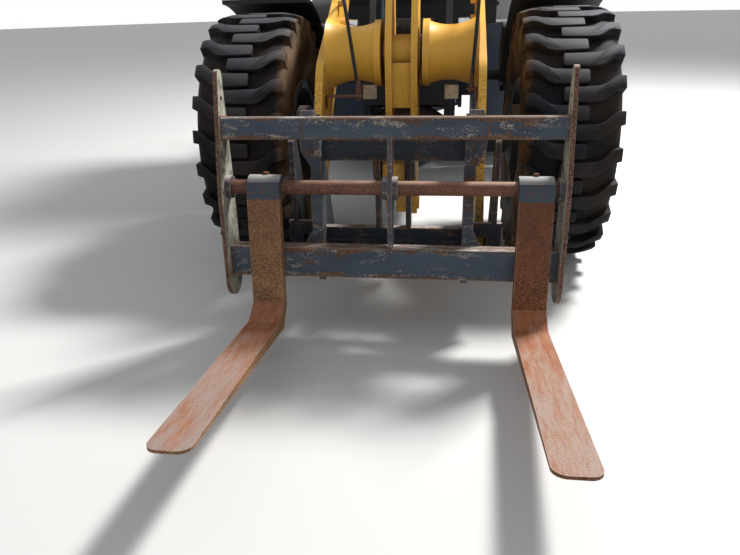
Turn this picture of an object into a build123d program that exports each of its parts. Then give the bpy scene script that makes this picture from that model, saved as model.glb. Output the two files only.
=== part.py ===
from build123d import *
import os
from math import cos, radians, sin

# Wheel loader with a fork carriage, in millimetres: X is the machine's left, Y its rear and Z up.
# While the pieces are drawn, the origin lies on the ground under the articulation axis, and a
# point beside the machine is written as (forward, up) on the front half and (rearward, up) on
# the rear half. At the end everything moves along Y, so that the origin is under the middle.

# Clearances
SEAT = 0.3
PIN_FIT = 0.3
RUN = 5.0

# Wheels and axles
AXLE_REACH = 1500
TRACK = 1800
TYRE_R = 745
TYRE_W = 520
TYRE_BASE_R = 705
LUG_PAIRS = 18
LUG_T = 70
LUG_FOOT_R = 640
RIM_R = 317
RIM_W = 430
FLANGE_R = 345
FLANGE_T = 15
DISC_IN = 60
DISC_T = 25
HUB_R = 165
HUB_OUT = 160
AXLE_TUBE_R = 110
DIFF_R = 210
DRUM_R = 190
SPINDLE_R = 150
NOSE_REACH = 330
SHAFT_R = 50
SHAFT_END = 70

# Articulation joint and the plates of both frames
HINGE_PIN_R = 60
HINGE_EAR_R = 120
HINGE_EAR_T = 50
HINGE_LOW = 615
HINGE_HIGH = 1125
FRONT_PLATE_IN = 225
FRONT_PLATE_OUT = 265
REAR_PLATE_IN = 345
REAR_PLATE_OUT = 380
REAR_PLATE_START = 520
REAR_PLATE_END = 2600
REAR_TOP = 1250
REAR_TAIL_LOW = 700
REAR_WALL_T = 50

# Steering cylinders
STEER_Z = 850
STEER_REAR = (290, 430)
STEER_FRONT = (270, 430)
STEER_BARREL_R = 40
STEER_ROD_R = 22.5
STEER_BARREL = 560
STEER_ROD = 595
STEER_EYE_R = 45
STEER_EYE_HALF = 30
STEER_LUG_T = 22

# Loader linkage pivots, each as (forward, up)
ARM_PIVOT = (880, 1930)
ARM_TIP = (2480, 400)
CRANK_PIVOT = (1960, 1280)
CRANK_LOW = (2009, 461)
CRANK_TOP = (1877, 1753)
LINK_PIVOT = (2540, 800)
LIFT_FOOT = (555, 1037)
LIFT_HEAD = (1531, 1384)
TILT_FOOT = (760, 1830)

# Lift arms and cross tube
ARM_IN = 400
ARM_OUT = 440
ARM_ELBOW = (1545, 1420, 135)
ARM_KNEE = (2050, 1120, 165)
ARM_PIVOT_R = 125
ARM_TIP_R = 105
ARM_PIN_R = 55
TIP_PIN_R = 45
TUBE_R = 165
TUBE_WAIST_R = 140
CRANK_EAR_IN = 110
CRANK_EAR_OUT = 145
CRANK_EAR_R = 170
CRANK_PIN_R = 60

# Bell crank and tilt link
CRANK_IN = 50
CRANK_OUT = 85
CRANK_HUB_R = 150
CRANK_TOP_R = 75
CRANK_LOW_R = 70
CRANK_BOSS_R = 95
LINK_HALF = 35
LINK_PIN_R = 45
LINK_BUSH_R = 65
LINK_CAP_R = 60
LINK_CAP_T = 15
LINK_EYE_R = 88
LINK_EYE_HALF = 53
LINK_REAR_PIN_R = 35
LINK_END_R = 62
LINK_SHANK_R = 42

# Hydraulic cylinders of the linkage
LIFT_X = 330
LIFT_BARREL_R = 55
LIFT_ROD_R = 29
LIFT_BARREL = 905
LIFT_ROD = 925
LIFT_PIN_R = 40
LIFT_EYE_HALF = 32
TILT_BARREL_R = 75
TILT_ROD_R = 42
TILT_BARREL = 830
TILT_ROD = 850
TILT_PIN_R = 45
TILT_EYE_HALF = 44

# Quick coupler
COUPLER_FACE = 2660
COUPLER_TOP = 960
COUPLER_BOX_D = 100
COUPLER_BOX_H = 100
CHEEK_IN = 340
CHEEK_T = 25
CHEEK_OUT = 470
LINK_EAR_IN = 60
LINK_EAR_T = 25
LINK_EAR_R = 80

# Fork carriage, in its own leaning frame: (ahead, up) from the shaft's centre
SHAFT_CENTRE = (2800, 770)
LEAN = 8
FORK_SHAFT_R = 32.5
CARRIAGE_HALF = 760
SIDE_T = 20
TOP_BAR_V = 265
TOP_BAR_H = 100
TOP_BAR_D = 90
LOW_BAR_V = -350
LOW_BAR_H = 140
LOW_BAR_D = 100
LOW_BAR_FACE = 19.7
CENTRE_COLLAR = 35
EAR_IN = 330
EAR_T = 30
EAR_FRONT = -80
EAR_FACE_T = 15
EAR_FACE_OUT = 380
EAR_FACE_WIDE = 425
CAP_RISE = 25
SIDE_HOLE = (6, 395, 12)
FORK_LEFT_X = 640
FORK_RIGHT_X = 575
FORK_W = 150
FORK_T = 50
FORK_BACK = 20
FORK_EYE_R = 57.5
FORK_DROP = 660
FORK_REACH = 1220

# Cab, platform and rear bodywork
DECK_T = 100
DECK_HALF = 1080
TANK_FRONT = 180
CAB_HALF = 615
DECK_INNER = CAB_HALF + RUN
CAB_WALL = 40
CAB_TOP = 3120
ROOF_T = 160
RAIL_R = 13
RAIL_FOOT_HALF = 8
RAIL_STANDOFF = 60
RAIL_ENDS = [(-62, 1560), (-150, 2110)]
MIRROR_X = 850
MIRROR_Y = -150
MIRROR_W = 190
MIRROR_H = 330
MIRROR_D = 48
MIRROR_ARM_Z = 2760
MIRROR_FOOT_Y = -72
HOOD_HALF = 560
HOOD_T = 40
HOOD_FRONT = 1340
HOOD_REAR = 3046
HOOD_BOTTOM = 1256
HOOD_TOP = 2150
HOOD_REAR_TOP = 1950
HOOD_BEND = 2150
HINGE_X = 440
HINGE_LUG_T = 18
HINGE_KNUCKLE = 38
HINGE_PIN = 8
STACK_X = -300
STACK_Y = 1750
STACK_TOP = 2820
STACK_R = 62
STACK_WALL = 12
STACK_DEPTH = 320
STACK_BASE_R = 95
GRILLE_T = 15
GRILLE_RIM = 35
GRILLE_PITCH = 40
REAR_GRILLE_HALF = 375
REAR_GRILLE_LOW = 1340
REAR_GRILLE_HIGH = 1840
SIDE_GRILLES = [(1900, 2250), (2300, 2850)]
SIDE_GRILLE_LOW = 1480
SIDE_GRILLE_HIGH = 1790
FENDER_GAP = 55
FENDER_R = TYRE_R + FENDER_GAP
FENDER_T = 25
FENDER_IN = TRACK / 2 - TYRE_W / 2 - 15
FENDER_OUT = TRACK / 2 + TYRE_W / 2 + RUN
WEIGHT_REAR = 3080
WEIGHT_HALF = 850
WEIGHT_LOW = 620
TOW_PIN_R = 20
LAMP_POCKET_IN = 520
LAMP_POCKET_W = 200
LAMP_POCKET_D = 30
LAMP_POCKET_Z = 1090
LAMP_POCKET_H = 90

FORWARD_SIDE = Plane(origin=(0, 0, 0), x_dir=(0, -1, 0), z_dir=(-1, 0, 0))
REAR_SIDE = Plane(origin=(0, 0, 0), x_dir=(0, 1, 0), z_dir=(1, 0, 0))
CARRIAGE_AHEAD = (0, -cos(radians(LEAN)), sin(radians(LEAN)))
CARRIAGE_SIDE = Plane(
    origin=(0, -SHAFT_CENTRE[0], SHAFT_CENTRE[1]), x_dir=CARRIAGE_AHEAD, z_dir=(-1, 0, 0)
)
CARRIAGE_FACE = Plane(
    origin=(0, -SHAFT_CENTRE[0], SHAFT_CENTRE[1]), x_dir=(1, 0, 0), z_dir=CARRIAGE_AHEAD
)
pieces = []


# Outlines
def hull_of(*discs):
    with BuildSketch() as outline:
        for across_way, up, radius in discs:
            with Locations((across_way, up)):
                Circle(radius)
        make_hull()
    return outline.sketch


def chain_of(*discs):
    with BuildSketch() as outline:
        for first, second in zip(discs, discs[1:]):
            add(hull_of(first, second))
    return outline.sketch


def polygon(*points, rounded=0):
    with BuildSketch() as outline:
        with BuildLine():
            Polyline(*points, close=True)
        make_face()
        if rounded:
            fillet(outline.vertices(), radius=rounded)
    return outline.sketch


def disc(centre, radius):
    with BuildSketch() as outline:
        with Locations(centre):
            Circle(radius)
    return outline.sketch


def box_outline(low, high):
    return polygon(low, (high[0], low[1]), high, (low[0], high[1]))


# A slab between two distances to the left, from an outline seen from the side
def slab(outline, x_in, x_out, plane=FORWARD_SIDE, mode=Mode.ADD):
    facing_left = plane.z_dir.X > 0
    start = plane.offset(x_in) if facing_left else plane.offset(-x_out)
    with BuildSketch(start) as placed:
        add(outline)
    extrude(placed.sketch, amount=x_out - x_in, mode=mode)


# A slab between two heights, from an outline seen from above as (left, rearward)
def layer(outline, low, high, mode=Mode.ADD):
    with BuildSketch(Plane.XY.offset(low)) as placed:
        add(outline)
    extrude(placed.sketch, amount=high - low, mode=mode)


# A block between two corners
def block(low, high, mode=Mode.ADD):
    layer(box_outline(low[:2], high[:2]), low[2], high[2], mode)


def finish(piece, name):
    piece.part.label = name
    pieces.append(piece.part)


# Plane whose normal runs from one side-view point to another, at a distance to the left
def aim(start, end, x):
    return Plane(
        origin=(x, -start[0], start[1]),
        x_dir=(1, 0, 0),
        z_dir=(0, start[0] - end[0], end[1] - start[1]),
    )


# Round length along the normal of a plane
def rod_along(plane, near, far, radius, mode=Mode.ADD):
    with BuildSketch(plane.offset(near)) as section:
        Circle(radius)
    extrude(section.sketch, amount=far - near, mode=mode)


# Wheels: plane at a wheel's centre, drawn as (outward, radius)
def wheel_plane(hand, y):
    return Plane(origin=(hand * TRACK / 2, y, TYRE_R), x_dir=(hand, 0, 0), z_dir=(0, -hand, 0))


WHEELS = [
    ("front_left", 1, -AXLE_REACH),
    ("front_right", -1, -AXLE_REACH),
    ("rear_left", 1, AXLE_REACH),
    ("rear_right", -1, AXLE_REACH),
]
BEAD_HALF = RIM_W / 2 - SEAT
# Rings of the tyre's outer half, as (outward, distance of the flats from the axle)
TYRE_RINGS = [
    (TYRE_W / 2 - 35, TYRE_BASE_R),
    (TYRE_W / 2, TYRE_R * 0.70),
    (BEAD_HALF, FLANGE_R + 8),
]
# Lug seen from outside, as (towards its shoulder, towards the tyre's top at the front)
LUG_OUTLINE = [
    (-60, -LUG_T),
    (140, -LUG_T),
    (TYRE_W / 2 - 10, 0),
    (TYRE_W / 2 - 10, LUG_T),
    (125, 0),
    (-60, 0),
]
LUG_TURN = 90 / LUG_PAIRS
LUG_TOP_R = (TYRE_R - LUG_T * sin(radians(LUG_TURN))) / cos(radians(LUG_TURN))
RIM_SECTION = [
    (DISC_IN, 0),
    (DISC_IN, RIM_R - 17),
    (-RIM_W / 2 - FLANGE_T, RIM_R - 17),
    (-RIM_W / 2 - FLANGE_T, FLANGE_R),
    (-RIM_W / 2, FLANGE_R),
    (-RIM_W / 2, RIM_R),
    (RIM_W / 2, RIM_R),
    (RIM_W / 2, FLANGE_R),
    (RIM_W / 2 + FLANGE_T, FLANGE_R),
    (RIM_W / 2 + FLANGE_T, RIM_R - 17),
    (DISC_IN + DISC_T, RIM_R - 17),
    (DISC_IN + DISC_T, HUB_R + 20),
    (HUB_OUT - 15, HUB_R),
    (HUB_OUT, HUB_R - 20),
    (HUB_OUT, 0),
]


# Plane on a wheel's tread: its normal leaves the axle at an angle from straight ahead upwards
def tread_plane(hand, y, degrees):
    away = (0, -cos(radians(degrees)), sin(radians(degrees)))
    return Plane(origin=(hand * TRACK / 2, y, TYRE_R), x_dir=(hand, 0, 0), z_dir=away)


for place, hand, wheel_y in WHEELS:
    centre = wheel_plane(hand, wheel_y)
    spin_axis = Axis(centre.origin, (hand, 0, 0))
    across = Plane(origin=centre.origin, x_dir=(0, -1, 0), z_dir=(hand, 0, 0))
    with BuildPart() as tyre:
        for outward, flat_r in TYRE_RINGS[::-1] + [(-u, r) for u, r in TYRE_RINGS]:
            with BuildSketch(across.offset(outward)):
                RegularPolygon(flat_r, LUG_PAIRS, major_radius=False, rotation=LUG_TURN)
        loft(ruled=True)
        lugs = []
        for pair in range(LUG_PAIRS):
            for shoulder in (1, -1):
                turn = -90 + 4 * LUG_TURN * pair + LUG_TURN * shoulder
                outline = polygon(*[(shoulder * u, hand * c) for u, c in LUG_OUTLINE])
                with BuildSketch(tread_plane(hand, wheel_y, turn).offset(LUG_FOOT_R)) as foot:
                    add(outline)
                lugs += [extrude(foot.sketch, amount=LUG_TOP_R - LUG_FOOT_R, mode=Mode.PRIVATE)]
        add(lugs)
        with BuildSketch(across.offset(-TYRE_W)) as bore:
            Circle(RIM_R + SEAT)
        extrude(bore.sketch, amount=2 * TYRE_W, mode=Mode.SUBTRACT)
    finish(tyre, f"tyre_{place}")
    with BuildPart() as rim:
        with BuildSketch(centre) as section:
            with BuildLine():
                Polyline(*RIM_SECTION, close=True)
            make_face()
        revolve(axis=spin_axis)
    finish(rim, f"rim_{place}")


# Axles: housing turned about X, a nose towards the articulation and pads under the frame
def axle(name, y, pad_in, pad_out, pad_top, shaft_end):
    toward = -1 if y > 0 else 1
    centre = Plane(origin=(0, y, TYRE_R), x_dir=(1, 0, 0), z_dir=(0, -1, 0))
    spindle_end = TRACK / 2 + DISC_IN - SEAT
    housing = [
        (0, 0),
        (0, DIFF_R),
        (90, DIFF_R - 8),
        (160, DIFF_R - 45),
        (230, AXLE_TUBE_R + 12),
        (300, AXLE_TUBE_R),
        (620, AXLE_TUBE_R),
        (640, DRUM_R),
        (700, DRUM_R),
        (715, SPINDLE_R),
        (spindle_end, SPINDLE_R),
        (spindle_end, 0),
    ]
    with BuildPart() as body:
        with BuildSketch(centre) as section:
            with BuildLine():
                Polyline(*housing, close=True)
            make_face()
        revolve(axis=Axis(centre.origin, (1, 0, 0)))
        pad_low = TYRE_R + AXLE_TUBE_R * 0.7
        block((pad_in, y - 110, pad_low), (pad_out, y + 110, pad_top))
        mirror(about=Plane.YZ)
        nose = Plane(origin=(0, y, TYRE_R), x_dir=(1, 0, 0), z_dir=(0, toward, 0))
        with BuildSketch(nose.offset(120)):
            Circle(DIFF_R * 0.75)
        with BuildSketch(nose.offset(NOSE_REACH)):
            Circle(SHAFT_R + 25)
        loft()
        rod_along(nose, NOSE_REACH - 10, abs(y) - shaft_end, SHAFT_R)
    finish(body, name)


AXLE_PAD_TOP = 875
GEARBOX_END = 1040
REAR_PAD_TOP = 900
axle("front_axle", -AXLE_REACH, FRONT_PLATE_IN, FRONT_PLATE_OUT, AXLE_PAD_TOP - SEAT, SHAFT_END)
axle("rear_axle", AXLE_REACH, REAR_PLATE_IN, REAR_PLATE_OUT, REAR_PAD_TOP - SEAT, GEARBOX_END + SEAT)


# Hinge ear seen from above: round at the axis, wide at the frame
def hinge_ear(toward, reach, half_width):
    flare = polygon(
        (-HINGE_EAR_R, 0),
        (-HINGE_EAR_R, toward * 150),
        (-half_width, toward * reach),
        (half_width, toward * reach),
        (HINGE_EAR_R, toward * 150),
        (HINGE_EAR_R, 0),
    )
    with BuildSketch() as outline:
        add(flare)
        Circle(HINGE_EAR_R)
    return outline.sketch


# Front frame: two side plates with lift arm towers, a front wall and the hinge ears
FRONT_PLATE = [
    (400, 1000),
    (400, 1240),
    (600, 1300),
    (700, 1700),
    (ARM_PIVOT[0] - 125, ARM_PIVOT[1] - 20),
    (ARM_PIVOT[0] - 90, ARM_PIVOT[1] + 95),
    (ARM_PIVOT[0] + 60, ARM_PIVOT[1] + 118),
    (ARM_PIVOT[0] + 135, ARM_PIVOT[1] - 10),
    (1250, 1400),
    (1650, 1350),
    (1650, 960),
    (1610, AXLE_PAD_TOP),
    (1250, AXLE_PAD_TOP),
    (1000, 560),
    (560, 560),
    (560, 680),
    (550, 680),
    (550, 930),
    (480, 1000),
]
with BuildPart() as front_frame:
    slab(polygon(*FRONT_PLATE), FRONT_PLATE_IN, FRONT_PLATE_OUT)
    slab(disc(LIFT_FOOT, 80), FRONT_PLATE_IN, FRONT_PLATE_OUT)
    lift_pin_out = LIFT_X + LIFT_EYE_HALF + 15
    slab(disc(LIFT_FOOT, LIFT_PIN_R), FRONT_PLATE_OUT, lift_pin_out)
    slab(disc(ARM_PIVOT, 100), FRONT_PLATE_OUT, ARM_IN - SEAT)
    slab(disc(ARM_PIVOT, ARM_PIN_R), ARM_IN - SEAT, ARM_OUT + RUN)
    slab(disc(ARM_PIVOT, ARM_PIN_R + 20), ARM_OUT + RUN, ARM_OUT + RUN + 15)
    lug_low = STEER_Z - STEER_EYE_HALF - 8
    lug_high = STEER_Z + STEER_EYE_HALF + 8
    with BuildSketch() as steer_lug:
        with Locations((STEER_FRONT[0], -STEER_FRONT[1])):
            Circle(STEER_EYE_R)
        with Locations((STEER_FRONT[0] - 20, -545)):
            Rectangle(70, 60)
        make_hull()
    for low in (lug_low - STEER_LUG_T, lug_high):
        layer(steer_lug.sketch, low, low + STEER_LUG_T)
    slab(box_outline((548, 680), (590, 960)), FRONT_PLATE_IN - 5, FRONT_PLATE_OUT + 40)
    mirror(about=Plane.YZ)
    block((-FRONT_PLATE_IN, -1650, 960), (FRONT_PLATE_IN, -1615, 1350))
    block((-FRONT_PLATE_IN, -1615, 1310), (FRONT_PLATE_IN, -1000, 1340))
    block((-FRONT_PLATE_IN, -1040, 850), (FRONT_PLATE_IN, -1000, 1340))
    block((-FRONT_PLATE_IN, -560, 820), (FRONT_PLATE_IN, -520, 1230))
    block((-FRONT_PLATE_IN, -1000, 560), (FRONT_PLATE_IN, -560, 590))
    slab(disc(TILT_FOOT, TILT_PIN_R), -FRONT_PLATE_IN, FRONT_PLATE_IN)
    for low in (HINGE_LOW - RUN - HINGE_EAR_T, HINGE_HIGH + HINGE_EAR_T + RUN):
        layer(hinge_ear(-1, 575, FRONT_PLATE_OUT), low, low + HINGE_EAR_T)
        layer(disc((0, 0), HINGE_PIN_R + PIN_FIT), low, low + HINGE_EAR_T, Mode.SUBTRACT)
    block((-200, -560, 610), (200, -520, 820), Mode.SUBTRACT)
finish(front_frame, "front_frame")

# Front fenders on a bracket bar from each frame plate
FENDER_BAR = (890, 1040)


def fender_arc(centre, start, end):
    with BuildSketch() as outline:
        with BuildLine():
            outer = CenterArc(centre, FENDER_R + FENDER_T, start, end - start)
            inner = CenterArc(centre, FENDER_R, start, end - start)
            Line(outer @ 0, inner @ 0)
            Line(outer @ 1, inner @ 1)
        make_face()
    return outline.sketch


with BuildPart() as front_fenders:
    front_hub = (AXLE_REACH, TYRE_R)
    slab(fender_arc(front_hub, 95, 168), FENDER_IN, FENDER_OUT)
    slab(hull_of((*FENDER_BAR, 60), (790, 1180, 60), (900, 1330, 60)), FENDER_IN - 20, FENDER_IN)
    slab(disc(FENDER_BAR, 40), FRONT_PLATE_OUT + SEAT, FENDER_IN - 20)
    mirror(about=Plane.YZ)
finish(front_fenders, "front_fenders")

# Work lamps on posts behind the lift arms, on bars from the towers
with BuildPart() as work_lamps:
    bar_s = ARM_PIVOT[0] - ARM_PIVOT_R - 45
    bar_z = 1640
    lamp_x = ARM_OUT + 120
    lamp_z = ARM_PIVOT[1] + 180
    block((FRONT_PLATE_OUT + SEAT, -bar_s - 20, bar_z), (lamp_x + 20, -bar_s + 20, bar_z + 40))
    block((lamp_x - 20, -bar_s - 20, bar_z), (lamp_x + 20, -bar_s + 20, lamp_z - 60))
    block((lamp_x - 85, -bar_s - 30, lamp_z - 60), (lamp_x + 85, -bar_s + 90, lamp_z + 60))
    mirror(about=Plane.YZ)
finish(work_lamps, "work_lamps")

# Rear frame: two side plates arched over the axle, cross plates, hinge ears and hinge pins
REAR_PLATE = [
    (REAR_PLATE_START, 990),
    (REAR_PLATE_START, REAR_TOP),
    (REAR_PLATE_END - SEAT, REAR_TOP),
    (REAR_PLATE_END - SEAT, REAR_TAIL_LOW),
    (REAR_PLATE_END - 500, REAR_TAIL_LOW),
    (1850, REAR_PAD_TOP),
    (1150, REAR_PAD_TOP),
    (950, 600),
    (REAR_PLATE_START, 600),
    (REAR_PLATE_START, 680),
    (REAR_PLATE_START + 60, 680),
    (REAR_PLATE_START + 60, 990),
]
with BuildPart() as rear_frame:
    slab(polygon(*REAR_PLATE), REAR_PLATE_IN, REAR_PLATE_OUT, REAR_SIDE)
    with BuildSketch() as steer_lug:
        with Locations(STEER_REAR):
            Circle(STEER_EYE_R)
        with Locations((STEER_REAR[0] + 20, 545)):
            Rectangle(90, 60)
        make_hull()
    barrel_half = STEER_BARREL_R + 7
    for low in (STEER_Z - barrel_half - STEER_LUG_T, STEER_Z + barrel_half):
        layer(steer_lug.sketch, low, low + STEER_LUG_T)
    pin_span = STEER_BARREL_R + 7 + STEER_LUG_T
    layer(disc(STEER_REAR, 25), STEER_Z - pin_span, STEER_Z + pin_span)
    mirror(about=Plane.YZ)
    block((-REAR_PLATE_IN, 540, 665), (REAR_PLATE_IN, 600, REAR_TOP))
    block((-130, 540, 665), (130, 600, 860), Mode.SUBTRACT)
    block((-REAR_PLATE_IN, 1060, 960), (REAR_PLATE_IN, 1100, REAR_TOP))
    tail_wall = (-REAR_PLATE_IN, REAR_PLATE_END - REAR_WALL_T, REAR_TAIL_LOW)
    block(tail_wall, (REAR_PLATE_IN, REAR_PLATE_END - SEAT, REAR_TOP))
    for low in (HINGE_LOW, HINGE_HIGH):
        layer(hinge_ear(1, 575, REAR_PLATE_IN + 10), low, low + HINGE_EAR_T)
    layer(disc((0, 0), HINGE_PIN_R), HINGE_LOW - RUN - HINGE_EAR_T, HINGE_LOW)
    layer(disc((0, 0), HINGE_PIN_R), HINGE_HIGH, HINGE_HIGH + 2 * HINGE_EAR_T + RUN + 8)
finish(rear_frame, "rear_frame")

# Engine and transmission, each one plain mass on feet between the frame plates
POWER = [
    ("engine_block", (-300, 1450, 985), (300, 2500, 1700), (1500, 2380)),
    ("transmission", (-230, 610, 700), (230, GEARBOX_END, 1150), (640, 940)),
]
for name, low, high, feet in POWER:
    with BuildPart() as mass:
        block(low, high)
        for foot in feet:
            foot_x = REAR_PLATE_IN - SEAT
            block((-foot_x, foot, 1080), (foot_x, foot + 60, 1130))
        if name == "transmission":
            exit_plane = Plane(origin=(0, low[1], TYRE_R), x_dir=(1, 0, 0), z_dir=(0, -1, 0))
            rod_along(exit_plane, 0, low[1] - SHAFT_END, SHAFT_R)
    finish(mass, name)

# Counterweight with a towing slot and pin hole
with BuildPart() as counterweight:
    weight_side = polygon(
        (REAR_PLATE_END, REAR_TOP),
        (WEIGHT_REAR, REAR_TOP),
        (WEIGHT_REAR, WEIGHT_LOW + 70),
        (WEIGHT_REAR - 60, WEIGHT_LOW),
        (REAR_PLATE_END, WEIGHT_LOW),
    )
    slab(weight_side, -WEIGHT_HALF, WEIGHT_HALF, REAR_SIDE)
    upright = counterweight.edges().filter_by(Axis.Z).group_by(Axis.Y)[-1]
    fillet(upright, radius=90)
    block((-70, WEIGHT_REAR - 170, 760), (70, WEIGHT_REAR + 1, 940), Mode.SUBTRACT)
    layer(disc((0, WEIGHT_REAR - 95), TOW_PIN_R), WEIGHT_LOW - 1, 761, Mode.SUBTRACT)
    for x_in in (LAMP_POCKET_IN, -LAMP_POCKET_IN - LAMP_POCKET_W):
        low = (x_in, WEIGHT_REAR - LAMP_POCKET_D, LAMP_POCKET_Z)
        high = (x_in + LAMP_POCKET_W, WEIGHT_REAR + 1, LAMP_POCKET_Z + LAMP_POCKET_H)
        block(low, high, Mode.SUBTRACT)
    hinge_axis = (WEIGHT_REAR - 18, HOOD_BOTTOM + 10)
    ear = hull_of((*hinge_axis, 14), (hinge_axis[0], REAR_TOP - 5, 14))
    ear_in = HINGE_X - 2 - HINGE_LUG_T
    ear_out = HINGE_X + HINGE_KNUCKLE + 4
    for x_in in (ear_in, ear_out, -ear_in - HINGE_LUG_T, -ear_out - HINGE_LUG_T):
        slab(ear, x_in, x_in + HINGE_LUG_T, REAR_SIDE)
    for x_in in (ear_in + HINGE_LUG_T / 2, -ear_out - HINGE_LUG_T / 2):
        slab(disc(hinge_axis, HINGE_PIN), x_in, x_in + HINGE_KNUCKLE + 24, REAR_SIDE)
finish(counterweight, "counterweight")

# Engine hood: a shell open below, on two knuckles at its rear edge
HOOD_SIDE = [
    (HOOD_FRONT, HOOD_BOTTOM),
    (HOOD_FRONT, HOOD_TOP),
    (HOOD_BEND, HOOD_TOP),
    (HOOD_REAR, HOOD_REAR_TOP),
    (HOOD_REAR, HOOD_BOTTOM),
]
HOOD_INSIDE = [
    (HOOD_FRONT + HOOD_T, HOOD_BOTTOM - 1),
    (HOOD_FRONT + HOOD_T, HOOD_TOP - HOOD_T),
    (HOOD_BEND, HOOD_TOP - HOOD_T),
    (HOOD_REAR - HOOD_T, HOOD_REAR_TOP - HOOD_T),
    (HOOD_REAR - HOOD_T, HOOD_BOTTOM - 1),
]
with BuildPart() as engine_hood:
    slab(polygon(*HOOD_SIDE), -HOOD_HALF, HOOD_HALF, REAR_SIDE)
    long_edges = engine_hood.faces().sort_by(Axis.Z)[1:].edges().filter_by(Axis.X, reverse=True)
    top_edges = [e for e in long_edges if e.center().Z > 2000 and abs(e.center().X) > 1]
    fillet(top_edges, radius=70)
    slab(polygon(*HOOD_INSIDE), -HOOD_HALF + HOOD_T, HOOD_HALF - HOOD_T, REAR_SIDE, Mode.SUBTRACT)
    knuckle = hull_of((*hinge_axis, 13), (HOOD_REAR - 5, HOOD_BOTTOM + 30, 13))
    hinge_bore = disc(hinge_axis, HINGE_PIN + PIN_FIT)
    for x_in in (HINGE_X, -HINGE_X - HINGE_KNUCKLE):
        slab(knuckle, x_in, x_in + HINGE_KNUCKLE, REAR_SIDE)
        slab(hinge_bore, x_in, x_in + HINGE_KNUCKLE, REAR_SIDE, Mode.SUBTRACT)
finish(engine_hood, "engine_hood")

# Slatted grilles seated on the hood: one at the rear and one on each side
with BuildPart() as hood_grilles:
    grille_back = HOOD_REAR + SEAT
    low = (-REAR_GRILLE_HALF, grille_back, REAR_GRILLE_LOW)
    block(low, (REAR_GRILLE_HALF, grille_back + GRILLE_T, REAR_GRILLE_HIGH))
    slot_low = REAR_GRILLE_LOW + GRILLE_RIM
    slot_high = REAR_GRILLE_HIGH - GRILLE_RIM
    slots = round((2 * REAR_GRILLE_HALF - 2 * GRILLE_RIM) / GRILLE_PITCH)
    for slot in range(slots):
        slot_x = -REAR_GRILLE_HALF + GRILLE_RIM + (slot + 0.25) * GRILLE_PITCH
        low = (slot_x, grille_back + 4, slot_low)
        high = (slot_x + GRILLE_PITCH / 2, grille_back + GRILLE_T + 1, slot_high)
        block(low, high, Mode.SUBTRACT)
    side_x = HOOD_HALF + SEAT
    for y_in, y_out in SIDE_GRILLES:
        low = (side_x, y_in, SIDE_GRILLE_LOW)
        block(low, (side_x + GRILLE_T, y_out, SIDE_GRILLE_HIGH))
        slots = round((SIDE_GRILLE_HIGH - SIDE_GRILLE_LOW - 2 * GRILLE_RIM) / GRILLE_PITCH)
        for slot in range(slots):
            slot_z = SIDE_GRILLE_LOW + GRILLE_RIM + (slot + 0.25) * GRILLE_PITCH
            low = (side_x + 4, y_in + GRILLE_RIM, slot_z)
            high = (side_x + GRILLE_T + 1, y_out - GRILLE_RIM, slot_z + GRILLE_PITCH / 2)
            block(low, high, Mode.SUBTRACT)
    mirror(about=Plane.YZ)
finish(hood_grilles, "hood_grilles")

# Exhaust stack standing on the hood
with BuildPart() as exhaust_stack:
    stack = (STACK_X, STACK_Y)
    layer(disc(stack, STACK_BASE_R), HOOD_TOP + SEAT, HOOD_TOP + 20)
    layer(disc(stack, STACK_R), HOOD_TOP + 20, STACK_TOP)
    pipe = disc(stack, STACK_R - STACK_WALL)
    layer(pipe, STACK_TOP - STACK_DEPTH, STACK_TOP + 1, Mode.SUBTRACT)
finish(exhaust_stack, "exhaust_stack")

# Cab platform: deck with side wings that stop at the rear fenders
DECK_LOW = REAR_TOP + SEAT
DECK_HIGH = DECK_LOW + DECK_T
DECK_PLAN = [
    (-DECK_INNER, -100),
    (DECK_INNER, -100),
    (DECK_INNER, TANK_FRONT),
    (DECK_HALF, TANK_FRONT),
    (DECK_HALF, 820),
    (DECK_INNER, 820),
    (DECK_INNER, 1330),
    (-DECK_INNER, 1330),
    (-DECK_INNER, 820),
    (-DECK_HALF, 820),
    (-DECK_HALF, TANK_FRONT),
    (-DECK_INNER, TANK_FRONT),
]
with BuildPart() as cab_platform:
    layer(polygon(*DECK_PLAN), DECK_LOW, DECK_HIGH)
finish(cab_platform, "cab_platform")

# Side tanks with steps cut into their outer half
with BuildPart() as side_tanks:
    tank_rear = AXLE_REACH - TYRE_R - FENDER_GAP
    tank = box_outline((TANK_FRONT, 480), (tank_rear, REAR_TOP))
    slab(tank, REAR_PLATE_OUT + 80, DECK_HALF - 30, REAR_SIDE)
    tank_foot = box_outline((tank_rear - 110, 700), (tank_rear, 1100))
    slab(tank_foot, REAR_PLATE_OUT + SEAT, REAR_PLATE_OUT + 80, REAR_SIDE)
    for step in range(3):
        step_z = 620 + 220 * step
        block((800, TANK_FRONT + 50, step_z), (DECK_HALF, tank_rear - 50, step_z + 170), Mode.SUBTRACT)
    mirror(about=Plane.YZ)
finish(side_tanks, "side_tanks")

# Rear fenders with a hanger plate inside each wheel
with BuildPart() as rear_fenders:
    rear_hub = (AXLE_REACH, TYRE_R)
    slab(fender_arc(rear_hub, 20, 143), FENDER_IN, FENDER_OUT, REAR_SIDE)
    beam_low = REAR_TOP - 70
    hanger = box_outline((AXLE_REACH - 100, beam_low), (AXLE_REACH + 100, TYRE_R + FENDER_R + 10))
    slab(hanger, FENDER_IN - 18, FENDER_IN, REAR_SIDE)
    beam = box_outline((AXLE_REACH - 60, beam_low), (AXLE_REACH + 60, beam_low + 50))
    slab(beam, REAR_PLATE_OUT + SEAT, FENDER_IN - 18, REAR_SIDE)
    mirror(about=Plane.YZ)
finish(rear_fenders, "rear_fenders")

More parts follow.
